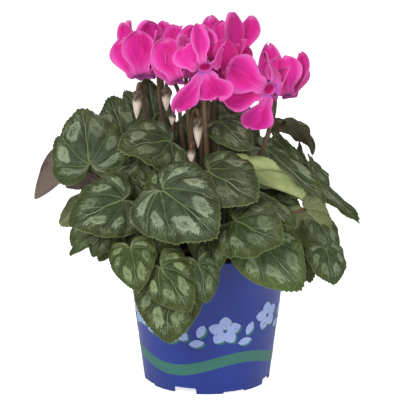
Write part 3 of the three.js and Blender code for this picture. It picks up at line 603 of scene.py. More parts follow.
LEAVES = [
    leaf_row("leaf_01", (-89, -30, 176), (-97, 8, 214), 64, (-0.12, -0.9, 0.35)),
    leaf_row("leaf_01", (-52, -12, 178), (-66, -48, 166), 36, (0, -0.3, 0.95)),
    leaf_row("leaf_02", (-64, 12, 184), (-77, 38, 221), 44, (-0.2, -0.9, 0.35)),
    leaf_row("leaf_03", (-28, -42, 195), (-66, -68, 194), 50, (-0.05, -0.75, 0.6)),
    leaf_row("leaf_04", (-33, -82, 166), (7, -107, 136), 68, (-0.1, -0.85, 0.5)),
    leaf_row("leaf_05", (-61, -68, 156), (-103, -76, 139), 52, (-0.2, -0.85, 0.45), seat=(-141, 20.5)),
    leaf_row("leaf_06", (-86, -28, 152), (-112, -32, 128), 34, (-0.6, 0.7, 0.2), seat=(-152, 22.5)),
    leaf_row("leaf_06", (-80, -50, 134), (-103, -62, 112), 26, (-0.6, -0.7, 0.2)),
    leaf_row("leaf_07", (-56, -91, 125), (-49, -106, 96), 36, (-0.2, -0.95, 0.3), seat=(-133, 23.5)),
    leaf_row("leaf_08", (-34, -96, 112), (-12, -110, 82), 40, (0, -0.95, 0.3), seat=(-117, 24)),
    leaf_row("leaf_08", (-36, -78, 120), (-15, -94, 93), 30, (0.05, -0.95, 0.25)),
    leaf_row("leaf_09", (-28, -82, 98), (-28, -97, 54), 54, (0, -1, 0.15), seat=(-102, 24), rise=0.88),
    leaf_row("leaf_10", (0, -66, 178), (36, -96, 160), 56, (0.1, -0.8, 0.6)),
    leaf_row("leaf_11", (10, -22, 208), (32, -45, 188), 36, (0.3, -0.7, 0.6), seat=(-60, 14.5)),
    leaf_row("leaf_12", (22, -42, 168), (76, -48, 150), 46, (0, 0.75, 0.65), seat=(-58, 18.5), fold=-35),
    leaf_row("leaf_13", (44, -8, 184), (92, -29, 144), 38, (0.4, -0.55, 0.74), seat=(-14, 16.5)),
    leaf_row("leaf_14", (61, 27, 202), (86, 31, 173), 38, (0.3, 0.4, 0.85), droop=62),
    leaf_row("leaf_15", (79, 29.5, 169), (125, 26, 120), 40, (0.75, -0.2, 0.6), seat=(28, 21.5), droop=-24),
    leaf_row("leaf_16", (72, -54, 147), (93, -53, 125), 28, (-0.2, 0.9, 0.3), seat=(-46, 21.5)),
    leaf_row("leaf_17", (72, -44, 134), (82, -50, 112), 22, (-0.3, 0.9, 0.2), seat=(-31, 22)),
    leaf_row("leaf_17", (88, -63, 118), (93, -76, 93), 35, (0.4, -0.85, 0.3)),
    leaf_row("leaf_18", (37, -62, 157), (65, -80, 137), 30, (0.6, -0.6, 0.5), seat=(-66, 21.5)),
    leaf_row("leaf_19", (19, -84.5, 144), (54, -106, 132), 55, (0.05, -0.85, 0.45), seat=(-75, 22.5)),
    leaf_row("leaf_20", (-7, -92, 114), (0, -104, 87), 30, (0.1, -0.95, 0.25)),
    leaf_row("leaf_20", (0, -72, 135), (5, -92, 104), 34, (0, -0.9, 0.4)),
    leaf_row("leaf_21", (37, -75, 128), (69, -88, 92), 54, (0.2, -0.9, 0.3), seat=(-57, 23.8)),
    leaf_row("leaf_22", (-113, 2, 176), (-136, 4, 142), 22, (0.3, 0.9, 0.2)),
    leaf_row("leaf_22", (-92, 12, 162), (-112, 14, 150), 20, (0.2, 0.9, 0.3)),
    leaf_row("leaf_23", (26, 10, 206), (4, 16, 222), 26, (0, -0.9, 0.4), seat=(40, 13.5)),
    leaf_row("leaf_23", (30, 62, 178), (44, 98, 160), 52, (0.1, 0.7, 0.7)),
    leaf_row("leaf_24", (-30, 66, 176), (-44, 102, 158), 54, (-0.1, 0.7, 0.7)),
    leaf_row("leaf_24", (-4, 76, 140), (2, 104, 112), 46, (0, 0.9, 0.4)),
    leaf_row("leaf_25", (66, 58, 148), (88, 84, 120), 48, (0.6, 0.7, 0.4)),
    leaf_row("leaf_25", (38, 76, 122), (48, 98, 92), 42, (0.3, 0.9, 0.3)),
    leaf_row("leaf_26", (-70, 56, 150), (-94, 82, 124), 50, (-0.6, 0.7, 0.4)),
    leaf_row("leaf_26", (-46, 74, 122), (-54, 96, 90), 42, (-0.3, 0.9, 0.3)),
]

# Vector noise starts from the clock unless it is seeded, and each run has to grow the same veins.
noise.seed_set(WANDER_SEED)

# How light and how yellow each leaf's green is, and how strong its silver patches are. The lightness is partly the
# leaf's own colour and partly painted light: leaf_21, which lies in shade, is painted lighter.
OTHER_TONE = (0.95, 0.4, 0.8)
LEAF_TONES_WITH_PAINTED_LIGHT = {
    "leaf_01": (1.0, 0.1, 1.1), "leaf_02": (0.75, 0.35, 0.7), "leaf_03": (0.85, 0.25, 0.8),
    "leaf_04": (0.8, 0.1, 1.0), "leaf_05": (0.8, 0.4, 0.8), "leaf_06": (1.0, 0.5, 0.6),
    "leaf_07": (1.0, 0.8, 1.0), "leaf_08": (1.0, 0.7, 1.1), "leaf_09": (1.0, 0.65, 1.0),
    "leaf_10": (0.66, 0.45, 0.65), "leaf_11": (0.75, 0.3, 0.8), "leaf_12": (1.5, 0.4, 0.8),
    "leaf_16": (0.62, 0.4, 0.8), "leaf_17": (0.9, 0.4, 0.8), "leaf_19": (0.88, 0.45, 0.7),
    "leaf_20": (1.0, 0.3, 0.6), "leaf_21": (1.6, 0.2, 0.9), "leaf_22": (0.85, 0.4, 0.8),
}
BROWN_UNDERSIDES = {"leaf_22": 0.95, "leaf_14": 0.6, "leaf_13": 0.35, "leaf_11": 0.7, "leaf_06": 0.35}


def combined(tree, x, y, z=0.0):
    return shader_node(tree, "CombineXYZ", (x, y, z)).outputs[0]


def attribute(shader, name):
    """A value that the mesh carries: its vector, and its single number."""
    made = shader_node(shader.id_data, "Attribute", attribute_name=name)
    return made.outputs["Vector"], made.outputs["Fac"]


def distance(vector):
    return Field(shader_node(vector.id_data, "VectorMath", (vector,), operation="LENGTH").outputs["Value"])


def chance_at(tree, x, y, z=0.0):
    """A number from 0 to 1 that is drawn afresh for each set of three values."""
    return Field(shader_node(tree, "TexWhiteNoise", (combined(tree, x, y, z),), noise_dimensions="3D").outputs["Value"])


def flattened(plan, seed):
    """The plan's first two numbers alone, and the same with the leaf's seed as the third, for its patterns."""
    tree = plan.id_data
    flat = shader_node(tree, "VectorMath", (plan, (1, 1, 0)), operation="MULTIPLY").outputs[0]
    return flat, shader_node(tree, "VectorMath", (flat, combined(tree, 0, 0, seed)), operation="ADD").outputs[0]


# The vein network of a heart-shaped leaf, drawn on the leaf's own plan. Main veins leave the heel like spokes, bend
# towards the tip and fork. Side veins leave them in chevrons, and small cells fill the rest.
vein_group = bpy.data.node_groups.new("leaf_veins", "ShaderNodeTree")
vein_group.interface.new_socket(name="Plan", in_out="INPUT", socket_type="NodeSocketVector")
vein_group.interface.new_socket(name="Seed", in_out="INPUT", socket_type="NodeSocketFloat")
vein_in = vein_group.nodes.new("NodeGroupInput")
vein_out = vein_group.nodes.new("NodeGroupOutput")
vein_seed = vein_in.outputs["Seed"]
vein_flat, vein_place = flattened(vein_in.outputs["Plan"], vein_seed)
vein_x, vein_y, _ = parts(vein_flat)
vein_reach = distance(vein_flat)
vein_turn = vein_y.maths("ARCTAN2", vein_x)
vein_line = vein_turn / (1 - VEIN_BEND * vein_reach) / VEIN_SPACING
vein_number = vein_line.maths("ROUND")
off_vein = abs(vein_line - vein_number) * vein_reach * VEIN_SPACING
is_midrib = abs(vein_number).maths("LESS_THAN", 0.5)
vein_width = (0.014 - 0.012 * vein_reach).larger(0.005) * (0.9 + 0.7 * is_midrib)
main_veins = off_vein.ranged(vein_width, vein_width * 0.35)
forks = []
for fork_start, fork_slope in VEIN_FORKS:
    off_fork = abs(off_vein - fork_slope * (vein_reach - fork_start))
    fork_begun = vein_reach.ranged(fork_start, fork_start + 0.06)
    forks.append(off_fork.ranged(vein_width * 0.8, vein_width * 0.2) * fork_begun)
main_veins = main_veins.larger(0.6 * forks[0].larger(forks[1] * is_midrib))
vein_chance = chance_at(vein_group, vein_number, vein_seed, 3.0)
main_veins = main_veins * is_midrib.larger(vein_chance.ranged(0.1, 0.65, 0.35, 0.95))
chevron_wander = cloud(vein_place, 7)
chevron = (vein_reach - 1.15 * off_vein) / 0.24 + 0.37 * vein_number + 0.7 * chevron_wander
side_veins = abs(chevron - chevron.maths("ROUND")).ranged(0.04, 0.012)
side_veins = side_veins * vein_reach.ranged(0.22, 0.34) * chevron_wander.ranged(0.36, 0.56)
sector = vein_line.maths("FLOOR")
for socket, value in {
    "Main": main_veins, "Side": side_veins, "Cells": cells(vein_place, 26).ranged(0.12, 0.0), "Reach": vein_reach,
    "Off Vein": off_vein, "Turn": vein_turn, "Sector Side": vein_line - sector - 0.5,
    "Sector Chance": chance_at(vein_group, sector, vein_seed),
}.items():
    vein_group.interface.new_socket(name=socket, in_out="OUTPUT", socket_type="NodeSocketFloat")
    vein_group.links.new(value.socket, vein_out.inputs[socket])


def veined(plan, seed):
    """The vein network in one material, as numbers by name."""
    veins = shader_node(plan.id_data, "Group", node_tree=vein_group)
    plan.id_data.links.new(plan, veins.inputs["Plan"])
    plan.id_data.links.new(seed, veins.inputs["Seed"])
    return {output.name: Field(output) for output in veins.outputs}


leaf_top, top_shader = new_material("leaf_upper_side", Specular_IOR_Level=0.3)
plan, seed = attribute(top_shader, "leaf_plan")[0], attribute(top_shader, "leaf_seed")[1]
light, yellow, silver_strength = parts(attribute(top_shader, "leaf_tone")[0])
veins = veined(plan, seed)
share = parts(plan)[2]
plan_place = flattened(plan, seed)[1]
broad = cloud(plan_place, 3.2)
fine = cloud(plan_place, 34, 4, 0.6)
lumpy = cloud(plan_place, 9, 5, 0.62)
streaks = cloud(combined(leaf_top.node_tree, veins["Turn"] * 7.0, share * 1.6, seed), 2.6, 4, 0.7)

# Each field between two veins has one silver patch, a lumpy oval across the middle of the field. It fades softly
# inwards, its outer side is ragged with a whitish rim, its middle is speckled dark, and thin streaks run on outwards.
patch_chance = veins["Sector Chance"]
patch_beyond = share - (0.54 + 0.09 * patch_chance)
is_beyond = patch_beyond.maths("GREATER_THAN", 0.0)
patch_depth = 0.11 + 0.05 * patch_chance + 0.12 * is_beyond * streaks.ranged(0.42, 0.62)
patch_along = patch_beyond / patch_depth
patch_off = distance(combined(leaf_top.node_tree, patch_along, veins["Sector Side"] / 0.33)) + (1.5 * lumpy - 0.75)
patch_strength = (patch_chance * 7.3).maths("FRACT").ranged(0.0, 0.6, 0.4, 1.0) * silver_strength
soft_side, ragged_side = patch_off.ranged(1.1, 0.7), patch_off.ranged(1.0, 0.88)
speckled = patch_off.ranged(0.66, 0.36) * fine.ranged(0.44, 0.54) * patch_along.ranged(-0.4, 0.1)
silver = (soft_side + is_beyond * (ragged_side - soft_side)) * (1 - 0.8 * speckled)
silver = silver * broad.ranged(0.3, 0.55, 0.6, 1.0) * patch_strength
silver = silver.larger(0.12 * lumpy.ranged(0.52, 0.68))
patch_rim = patch_off.ranged(0.74, 0.88) * patch_off.ranged(1.08, 0.96) * patch_along.ranged(0.0, 0.4)
streak_lines = abs(streaks - 0.5).ranged(0.03, 0.0) * patch_along.ranged(0.2, 0.7) * share.ranged(0.95, 0.82)
patch_white = (patch_rim * fine.ranged(0.42, 0.52)).larger(streak_lines * lumpy.ranged(0.44, 0.54))

leaf_green = (0.6 * share.ranged(0.5, 0.92) + yellow).blend(LEAF_COOL_GREEN, LEAF_WARM_GREEN)
# Painted light and shade in the upper side's green: lumps that the relief raises are painted lighter, the grooves along
# the main veins are painted darker, and each leaf's lightness adds its painted light. The rest is the leaf's mottling.
shade = lumpy.ranged(0.3, 0.7, 0.8, 1.22) * light * veins["Off Vein"].ranged(0.0, 0.07, 0.82, 1.05)
colour = (0.1 * veins["Cells"]).blend(shaded(leaf_green, shade), VEIN_YELLOW)
colour = (0.74 * silver).blend(colour, yellow.blend(LEAF_SILVER, LEAF_SILVER_WARM))
colour = (patch_white * (0.55 * patch_strength)).blend(colour, VEIN_SILVER)
vein_colour = veins["Reach"].ranged(0.3, 0.7).blend(VEIN_YELLOW, VEIN_SILVER)
colour = (veins["Side"] * share.ranged(0.95, 0.7, 0.05, 0.3)).blend(colour, vein_colour)
colour = (veins["Main"] * share.ranged(0.97, 0.7, 0.2, 0.75)).blend(colour, vein_colour)
colour = (0.72 * share.ranged(0.972, 0.99)).blend(colour, LEAF_MARGIN)
relief = 1.2 * lumpy + 0.2 * fine - (0.6 * veins["Side"] + veins["Main"] + 0.25 * veins["Cells"])
dress(top_shader, colour, relief, 0.6, 0.0007)
leaf_top.node_tree.links.new(fine.ranged(0.2, 0.8, 0.4, 0.56).socket, top_shader.inputs["Roughness"])

leaf_under, under_shader = new_material("leaf_underside", Roughness=0.55, Specular_IOR_Level=0.25)
plan, seed = attribute(under_shader, "leaf_plan")[0], attribute(under_shader, "leaf_seed")[1]
brown = Field(attribute(under_shader, "leaf_brown")[1])
# The underside's lightness is the same per-leaf lightness, partly painted light, over a soft mottling.
light = parts(attribute(under_shader, "leaf_tone")[0])[0] * cloud(plan, 5, 4).ranged(0.3, 0.7, 0.85, 1.1)
veins = veined(plan, seed)
under_veins = veins["Main"].larger(0.5 * veins["Side"])
under_vein_colour = brown.blend(UNDER_VEIN_GREEN, UNDER_VEIN_BROWN)
colour = (0.55 * under_veins).blend(shaded(brown.blend(UNDER_GREEN, UNDER_BROWN), light), under_vein_colour)
dress(under_shader, colour, 0.15 * veins["Cells"] + under_veins, 0.5, 0.0006)


def leaf_frame(leaf):
    """The heel of a blade, its three directions there, its bend, and its length along the midrib."""
    heel = Vector(leaf["heel"])
    chord = Vector(leaf["tip"]) - heel
    along = chord.normalized()
    facing = Vector(leaf["face"])
    normal = (facing - facing.dot(along) * along).normalized()
    bend = math.radians(leaf.get("droop", BLADE_DROOP))
    turn = Quaternion(along.cross(normal), bend / 2)
    along.rotate(turn)
    normal.rotate(turn)
    length = chord.length * (bend / 2) / math.sin(bend / 2)
    return {"heel": heel, "along": along, "normal": normal, "side": normal.cross(along), "bend": bend, "length": length}


def outline_radius(angle):
    """The distance from the outline's centre to the leaf's edge, as a share of the leaf's length."""
    turn = abs(angle)
    tip = (1 - OUTLINE_CENTRE - SHOULDER) * math.exp(-((turn / 0.48) ** 1.3))
    behind = max(0, (turn - TEMPLE) / (math.pi - TEMPLE))
    return (SHOULDER + tip) * (1 - (1 - OUTLINE_CENTRE / SHOULDER) * behind ** 2.4)


def on_blade(blade, u, across, lift):
    """A point of the bent blade from its distance along the midrib, across it and above it."""
    curve = blade["bend"] / blade["length"]
    height = lift + 1 / curve
    point = blade["heel"] + blade["along"] * (height * math.sin(curve * u))
    return point + blade["normal"] * (height * math.cos(curve * u) - 1 / curve) + blade["side"] * across


def off_main_vein(u, v):
    """How far a point of the leaf's plan is from the nearest main vein, as a share of the leaf's length."""
    reach = math.hypot(u, v)
    line = math.atan2(v, u) / (1 - VEIN_BEND * reach) / VEIN_SPACING
    return abs(line - round(line)) * reach * VEIN_SPACING


def grow_blade(bm, leaf, number):
    """Spins a closed disc of rings, and bends it into a blade with two faces and a toothed edge."""
    blade = leaf_frame(leaf)
    vectors, numbers = bm.verts.layers.float_vector, bm.verts.layers.float
    profile = [(r, 1) for r in LEAF_RINGS] + [(r, -1) for r in reversed(LEAF_RINGS)]
    verts = spun(bm, profile, LEAF_SPOKES)
    faces = list({f for v in verts for f in v.link_faces})
    for face in faces:
        face.material_index = 1 if all(v.co.z < 0 for v in face.verts) else 0
    half = leaf["width"] / 2
    size = half / MIDDLE_HALF_WIDTH
    length = blade["length"]
    cup = BLADE_CUP / half
    fold = math.radians(leaf.get("fold", 0))
    step = 2 * math.pi / LEAF_SPOKES
    ruffles = 6 + number % 3
    for v in verts:
        reach = math.hypot(v.co.x, v.co.y)
        angle = math.atan2(v.co.y, v.co.x)
        tooth = 1 - TOOTH_DEPTH * (round(angle / step) % 2) * max(0, reach - 0.9) / 0.1
        edge = outline_radius(angle) * reach * tooth
        plan_u = OUTLINE_CENTRE + edge * math.cos(angle)
        plan_v = edge * math.sin(angle) / SHOULDER * half / length
        bent = cup * length * plan_v
        spread, fall = math.sin(bent) / cup, (1 - math.cos(bent)) / cup
        wander = noise.noise_vector(Vector((plan_u * 3.5, plan_v * 3.5, number * 2.1))) * VEIN_WANDER
        vein_u, vein_v = plan_u + wander.x, plan_v + wander.y
        groove = math.exp(-((off_main_vein(vein_u, vein_v) / GROOVE) ** 2))
        lift = PUCKER * size * (1 - groove) * min(1, math.hypot(vein_u, vein_v) / 0.3)
        lift += BROAD_RIPPLE * noise.noise(Vector((plan_u * 4 + number * 3.7, plan_v * 4, number))) * reach ** 2
        lift += FINE_RIPPLE * noise.noise(Vector((plan_u * 11, plan_v * 11 + number * 2.3, number))) * reach
        lift += EDGE_WAVE * math.sin(3 * angle) * reach ** 2
        lift += EDGE_RUFFLE * size * math.sin(ruffles * angle + number) * reach ** 5
        lift += FINE_RUFFLE * size * math.sin((2 * ruffles + 1) * angle + 2 * number) * reach ** 8
        lift -= EDGE_ROLL * size * reach ** 9 + fall + abs(spread) * math.sin(fold)
        half_thickness = math.copysign(LEAF_THICKNESS * (1 - 0.45 * reach ** 4) / 2, v.co.z)
        v[vectors["leaf_plan"]] = Vector((vein_u, vein_v, reach))
        # The first number of this vector is the leaf's lightness, partly painted light and shade.
        v[vectors["leaf_tone"]] = Vector(leaf.get("tone") or LEAF_TONES_WITH_PAINTED_LIGHT.get(leaf["node"], OTHER_TONE))
        v[numbers["leaf_seed"]] = (number * 1.37) % 9
        v[numbers["leaf_brown"]] = BROWN_UNDERSIDES.get(leaf["node"], 0)
        v.co = on_blade(blade, length * plan_u, spread * math.cos(fold), lift + half_thickness) * MM
    return blade, faces


def leaf_seat(leaf, order):
    """Where a leaf's stalk starts on the crown: the steeper a stalk, the nearer the middle."""
    x, y, z = leaf["heel"]
    lean = math.degrees(math.atan2(math.hypot(x, y), z - TUBER_MIDDLE - TUBER_HALF_HEIGHT))
    azimuth, radius = leaf.get("seat", (math.degrees(math.atan2(y, x)), 12.5 + 0.13 * lean))
    return crown_seat(math.radians(azimuth + 5 * order), radius)


def leaf_piece(name, group, first_number):
    """One or two blades with their stalks in one object."""
    bm = bmesh.new()
    for layer in ("leaf_plan", "leaf_tone"):
        bm.verts.layers.float_vector.new(layer)
    for layer in ("leaf_seed", "leaf_brown"):
        bm.verts.layers.float.new(layer)
    for order, leaf in enumerate(group):
        blade, blade_faces = grow_blade(bm, leaf, first_number + order)
        bmesh.ops.recalc_face_normals(bm, faces=blade_faces)
        start, out = leaf_seat(group[0], order)
        end = on_blade(blade, STALK_INSET, 0, -0.5)
        reach = (end - start).length
        arrival = (blade["along"] * 0.5 + blade["normal"] * 0.85).normalized()
        curve = [start, start + out * reach * leaf.get("rise", 0.4), end - arrival * reach * 0.3, end]
        path = bezier(curve, LEAF_STALK_STEPS)
        radii = [LEAF_STALK_RADIUS * (1.1 - 0.25 * k / LEAF_STALK_STEPS) for k in range(len(path))]
        stalk_faces = grow_stalk(bm, path, radii, 8, material_index=2)
        bmesh.ops.recalc_face_normals(bm, faces=stalk_faces)
    piece = mesh_piece(name, bm, [leaf_top, leaf_under, stalk_material])
    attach(piece, "root")
    return piece


leaf_number = 1
for node in sorted({leaf["node"] for leaf in LEAVES}):
    group = [leaf for leaf in LEAVES if leaf["node"] == node]
    piece = leaf_piece(node + "_grown", group, leaf_number)
    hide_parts(node)
    leaf_number += len(group)


# Inner leaves
# Small leaves deep in the plant, mostly in the shade of the others. They close the gaps between the larger ones. Each
# row holds the heel, the tip, the width, the way that the upper side faces, and the tone. The lightness in it is low
# for most of them: painted shade, on top of the shade that falls on them deep in the plant.
FIRST_INNER_NUMBER = 41
INNER_LEAVES = [
    ((-43, -48, 148), (-64, -56, 115), 44, (-0.2, -0.9, 0.3), (0.6, 0.5, 0.4)),
    ((-61, -44, 130), (-83, -50, 105), 28, (-0.4, -0.85, 0.3), (0.9, 0.5, 0.6)),
    ((-32, -64, 163), (-26, -52, 185), 30, (0, -0.85, 0.45), (1.0, 0.6, 1.0)),
    ((-41, -50, 165), (-51, -44, 180), 20, (-0.1, -0.85, 0.4), (1.0, 0.6, 0.8)),
    ((-30, -2, 171), (-38, 6, 211), 40, (0, -0.95, 0.3), (0.5, 0.5, 0.3)),
    ((-13, 14, 172), (-13, 22, 211), 44, (0, -0.95, 0.3), (0.5, 0.5, 0.3)),
    ((-45, 24, 193), (-66, 32, 226), 30, (-0.1, -0.9, 0.4), (0.7, 0.5, 0.4)),
    ((39, -32, 152), (73, -36, 139), 34, (0.1, -0.85, 0.5), (0.7, 0.5, 0.5)),
    ((60, -44, 127), (79, -54, 89), 32, (0.4, -0.85, 0.3), (0.8, 0.5, 0.5)),
    ((14, -50, 160), (14, -60, 122), 42, (0, -0.95, 0.3), (0.6, 0.5, 0.4)),
    ((19, 6, 205), (35, -6, 172), 40, (0.2, -0.9, 0.4), (0.6, 0.5, 0.4)),
    ((-43, -58, 127), (-32, -66, 91), 40, (0, -0.95, 0.3), (0.6, 0.5, 0.4)),
    ((54, 10, 189), (76, 6, 162), 24, (0.35, -0.6, 0.7), (0.75, 0.5, 0.6)),
    ((-82, -44, 144), (-102, -53, 116), 36, (-0.5, -0.8, 0.3), (0.9, 0.5, 0.6)),
    ((-72, -56, 134), (-86, -66, 112), 28, (-0.3, -0.9, 0.2), (0.8, 0.6, 0.6)),
    ((-38, -50, 150), (-59, -46, 172), 32, (-0.1, -0.9, 0.35), (0.6, 0.5, 0.5)),
    ((82, -50, 138), (96, -60, 112), 28, (0.4, -0.85, 0.3), (0.85, 0.4, 0.7)),
    ((-6, 24, 188), (-1, 30, 222), 32, (0, -0.95, 0.3), (0.5, 0.5, 0.3)),
    ((-38, 16, 198), (-49, 20, 238), 30, (0, -0.95, 0.3), (0.5, 0.5, 0.3)),
    ((83, 24, 169), (98, 24, 148), 24, (0.6, -0.4, 0.7), (0.85, 0.4, 0.6)),
    ((-16, 60, 150), (-26, 78, 122), 42, (-0.1, 0.85, 0.4), (0.8, 0.4, 0.7)),
    ((18, 58, 150), (27, 76, 122), 40, (0.1, 0.85, 0.4), (0.9, 0.5, 0.6)),
    ((-46, 46, 150), (-62, 64, 122), 42, (-0.4, 0.8, 0.4), (0.9, 0.3, 0.7)),
    ((44, 44, 148), (60, 62, 120), 40, (0.4, 0.8, 0.4), (0.8, 0.5, 0.6)),
    ((-22, 62, 122), (-30, 77, 96), 36, (-0.15, 0.9, 0.3), (0.8, 0.5, 0.7)),
    ((20, 62, 122), (26, 78, 96), 34, (0.15, 0.9, 0.3), (0.9, 0.6, 0.6)),
    ((48, 34, 176), (60, 50, 154), 32, (0.5, 0.6, 0.6), (1.0, 0.4, 0.8)),
    ((-48, 36, 174), (-58, 50, 154), 34, (-0.5, 0.6, 0.6), (0.9, 0.5, 0.8)),
    ((-66, 22, 150), (-84, 34, 124), 38, (-0.7, 0.5, 0.4), (0.9, 0.4, 0.7)),
    ((62, 8, 138), (84, 14, 112), 36, (0.8, 0.2, 0.4), (0.9, 0.5, 0.6)),
    ((0, 52, 172), (0, 72, 148), 34, (0, 0.8, 0.5), (0.9, 0.4, 0.7)),
    ((-58, 46, 124), (-74, 58, 98), 34, (-0.6, 0.75, 0.3), (0.8, 0.5, 0.6)),
    ((60, 42, 122), (74, 54, 98), 34, (0.6, 0.75, 0.3), (0.8, 0.5, 0.6)),
]
for i, (heel, tip, width, face, tone) in enumerate(INNER_LEAVES):
    row = leaf_row("inner", heel, tip, width, face, tone=tone)
    leaf_piece(f"inner_leaf_{i + 1:02d}", [row], FIRST_INNER_NUMBER + i)


# Flower stalks
# Each flower hangs from a stalk that rises past it and bends over like a crook. The calyx at its end clasps the
# flower with five pointed, brown-streaked sepals.
FLOWER_STALK_RADIUS = 1.8
CROWN_SPREAD = 0.19
HOOK_REACH = 12
CALYX_BASE = 1.5
CUP_DEPTH = 2.2
SEPAL_LENGTH = 3.5
TUBE_LENGTH = 8.5
TUBE_RADIUS = 4
CLEARANCE = 0.3
BUD_RADIUS = 3.6
SEPAL_GREEN = (0.13, 0.12, 0.055, 1)
SEPAL_BROWN = (0.05, 0.02, 0.016, 1)

FLOWERS = [
    {"at": (-48, -18, 244), "axis": (0.06, -0.35, -0.9), "spread": 22, "length": 37, "width": 24,
     "petals": [{}, {}, {"spread": 16, "length": 35}, {}, {}]},
    {"at": (-47, 30, 253), "axis": (-0.05, -0.1, -0.98), "spread": 22, "length": 36,
     "petals": [{}, {"spread": 36, "width": 16}, {}, {}, {}]},
    {"at": (-19, -45, 244), "axis": (0.25, -0.35, -0.9), "spread": 15, "length": 36, "width": 23,
     "seat": (-3.4, -8.2)},
    {"at": (-14, 10, 249), "axis": (-0.1, -0.2, -0.95), "spread": 20, "length": 36},
    {"at": (-2, -72, 254), "axis": (0.05, -0.75, -0.6), "spread": 26, "length": 28, "hook": (0, 0.3, -1),
     "seat": (1.5, -13),
     "petals": [
         {"spread": 106, "length": 25, "width": 27, "twist": 5, "turn": -36},
         {"length": 23},
         {"spread": 40, "length": 32, "width": 13, "twist": 60, "turn": 14},
         {"length": 23},
         {"spread": 110, "length": 38, "width": 17, "twist": -15, "turn": 24},
     ]},
    {"at": (2, -30.5, 228), "axis": (0, -0.3, -0.95), "spread": 10, "length": 26, "width": 13, "seat": (-1.2, -2.8)},
    {"at": (16, 39, 249), "axis": (0.22, -0.22, -0.9), "spread": 29, "length": 43, "width": 28, "seat": (5.5, 5.9),
     "petals": [{"spread": 22, "length": 40}, {"turn": 28, "length": 50}, {}, {"spread": 34}, {"length": 43}]},
    {"at": (16, -10, 243), "axis": (0.1, -0.3, -0.9), "spread": 18, "length": 32, "width": 18},
    {"at": (46, -44, 235), "axis": (0.3, -0.75, -0.25), "spread": 24, "length": 34, "width": 22,
     "hook": (0.4, 0.3, -0.6), "seat": (8.6, -9.1),
     "petals": [
         {},
         {},
         {"spread": 74, "length": 35, "width": 26, "turn": 26},
         {"spread": 76, "length": 34, "width": 20, "turn": 5},
         {"spread": 88, "length": 34, "width": 20, "turn": 5},
     ]},
    {"at": (59, 4, 226), "axis": (0.1, -0.4, -0.9), "spread": 23, "length": 42, "width": 25, "hook": (-0.4, 1, 0),
     "seat": (11, 4),
     "petals": [
         {},
         {"length": 40, "spread": 29},
         {"turn": 18, "length": 34, "width": 27, "twist": 8},
         {"turn": -8, "length": 46, "width": 18, "twist": 65},
         {"length": 35, "spread": 14},
     ]},
]
BUDS = [
    {"at": (-52, -38, 232), "axis": (-0.05, 0, -1), "length": 20, "hook": (0.4, 1, 0)},
    {"at": (-31, -22, 233), "axis": (0, 0, -1), "length": 17, "seat": (-5.6, -4.6)},
    {"at": (-7, -44, 213), "axis": (0, -0.1, -1), "length": 22, "hook": (-0.5, 1, 0), "seat": (1.6, -8.4)},
]

sepal_material, sepal_shader = new_material("sepal_skin", Roughness=0.55)
sepal_streaks = cloud(stretched(object_place(sepal_shader), (1, 1, 0.25)), 900, 3)
dress(sepal_shader, sepal_streaks.ranged(0.45, 0.56).blend(SEPAL_GREEN, SEPAL_BROWN), sepal_streaks, 0.5, 0.0003)


def hook_side(item, axis):
    """The way from a hanging flower to the stalk that comes up beside it, square to the flower's axis."""
    towards = Vector(item.get("hook", (-item["at"][0], -item["at"][1], 0)))
    return (towards - towards.dot(axis) * axis).normalized()


def hooked_path(item, axis, calyx):
    """A stalk rises beside its flower, bends over and comes into the calyx along the flower's axis."""
    x, y = item.get("seat", (CROWN_SPREAD * item["at"][0], CROWN_SPREAD * item["at"][1]))
    start, out = crown_seat(math.atan2(y, x), math.hypot(x, y))
    beside = calyx + hook_side(item, axis) * HOOK_REACH - Vector((0, 0, 10))
    rise = (beside - start).length
    hook = (calyx - beside).length
    up = Vector((0, 0, 1))
    lower = bezier([start, start + out * rise * 0.35, beside - up * rise * 0.3, beside], 24)
    upper = bezier([beside, beside + up * hook * 0.8, calyx - axis * hook * 0.75, calyx], 12)
    return lower + upper[1:]


def hang(bm, verts, base, axis):
    """Turns vertices in millimetres from the Z axis to a flower's axis, moves them there, and gives their faces."""
    facing = Vector((0, 0, 1)).rotation_difference(axis).to_matrix().to_4x4()
    bmesh.ops.transform(bm, matrix=Matrix.Scale(MM, 4) @ Matrix.Translation(base) @ facing, verts=verts)
    return list({f for v in verts for f in v.link_faces})


def grow_calyx(bm, axis, base, tube_radius):
    """Spins a small cup, draws its rim out into five sepals, and places it."""
    inside = tube_radius + CLEARANCE
    outer = [(0, -CALYX_BASE), (1.5, -CALYX_BASE), (2.4, -CALYX_BASE + 0.5), (inside * 0.8 + 0.6, CUP_DEPTH * 0.4),
             (inside + 0.55, CUP_DEPTH), (inside + 0.5, CUP_DEPTH + 0.45)]
    inner = [(inside + 0.1, CUP_DEPTH + 0.4), (inside, CUP_DEPTH - 0.2), (inside * 0.6, CUP_DEPTH * 0.45), (0, 0)]
    verts = spun(bm, outer + inner, 40)
    for v in verts:
        if v.co.z > CUP_DEPTH + 0.2:
            lobe = max(0, math.cos(5 * math.atan2(v.co.y, v.co.x))) ** 1.3
            v.co.z += SEPAL_LENGTH * lobe
            v.co.x *= 1 + 0.1 * lobe
            v.co.y *= 1 + 0.1 * lobe
    for face in hang(bm, verts, base, axis):
        face.material_index = 1


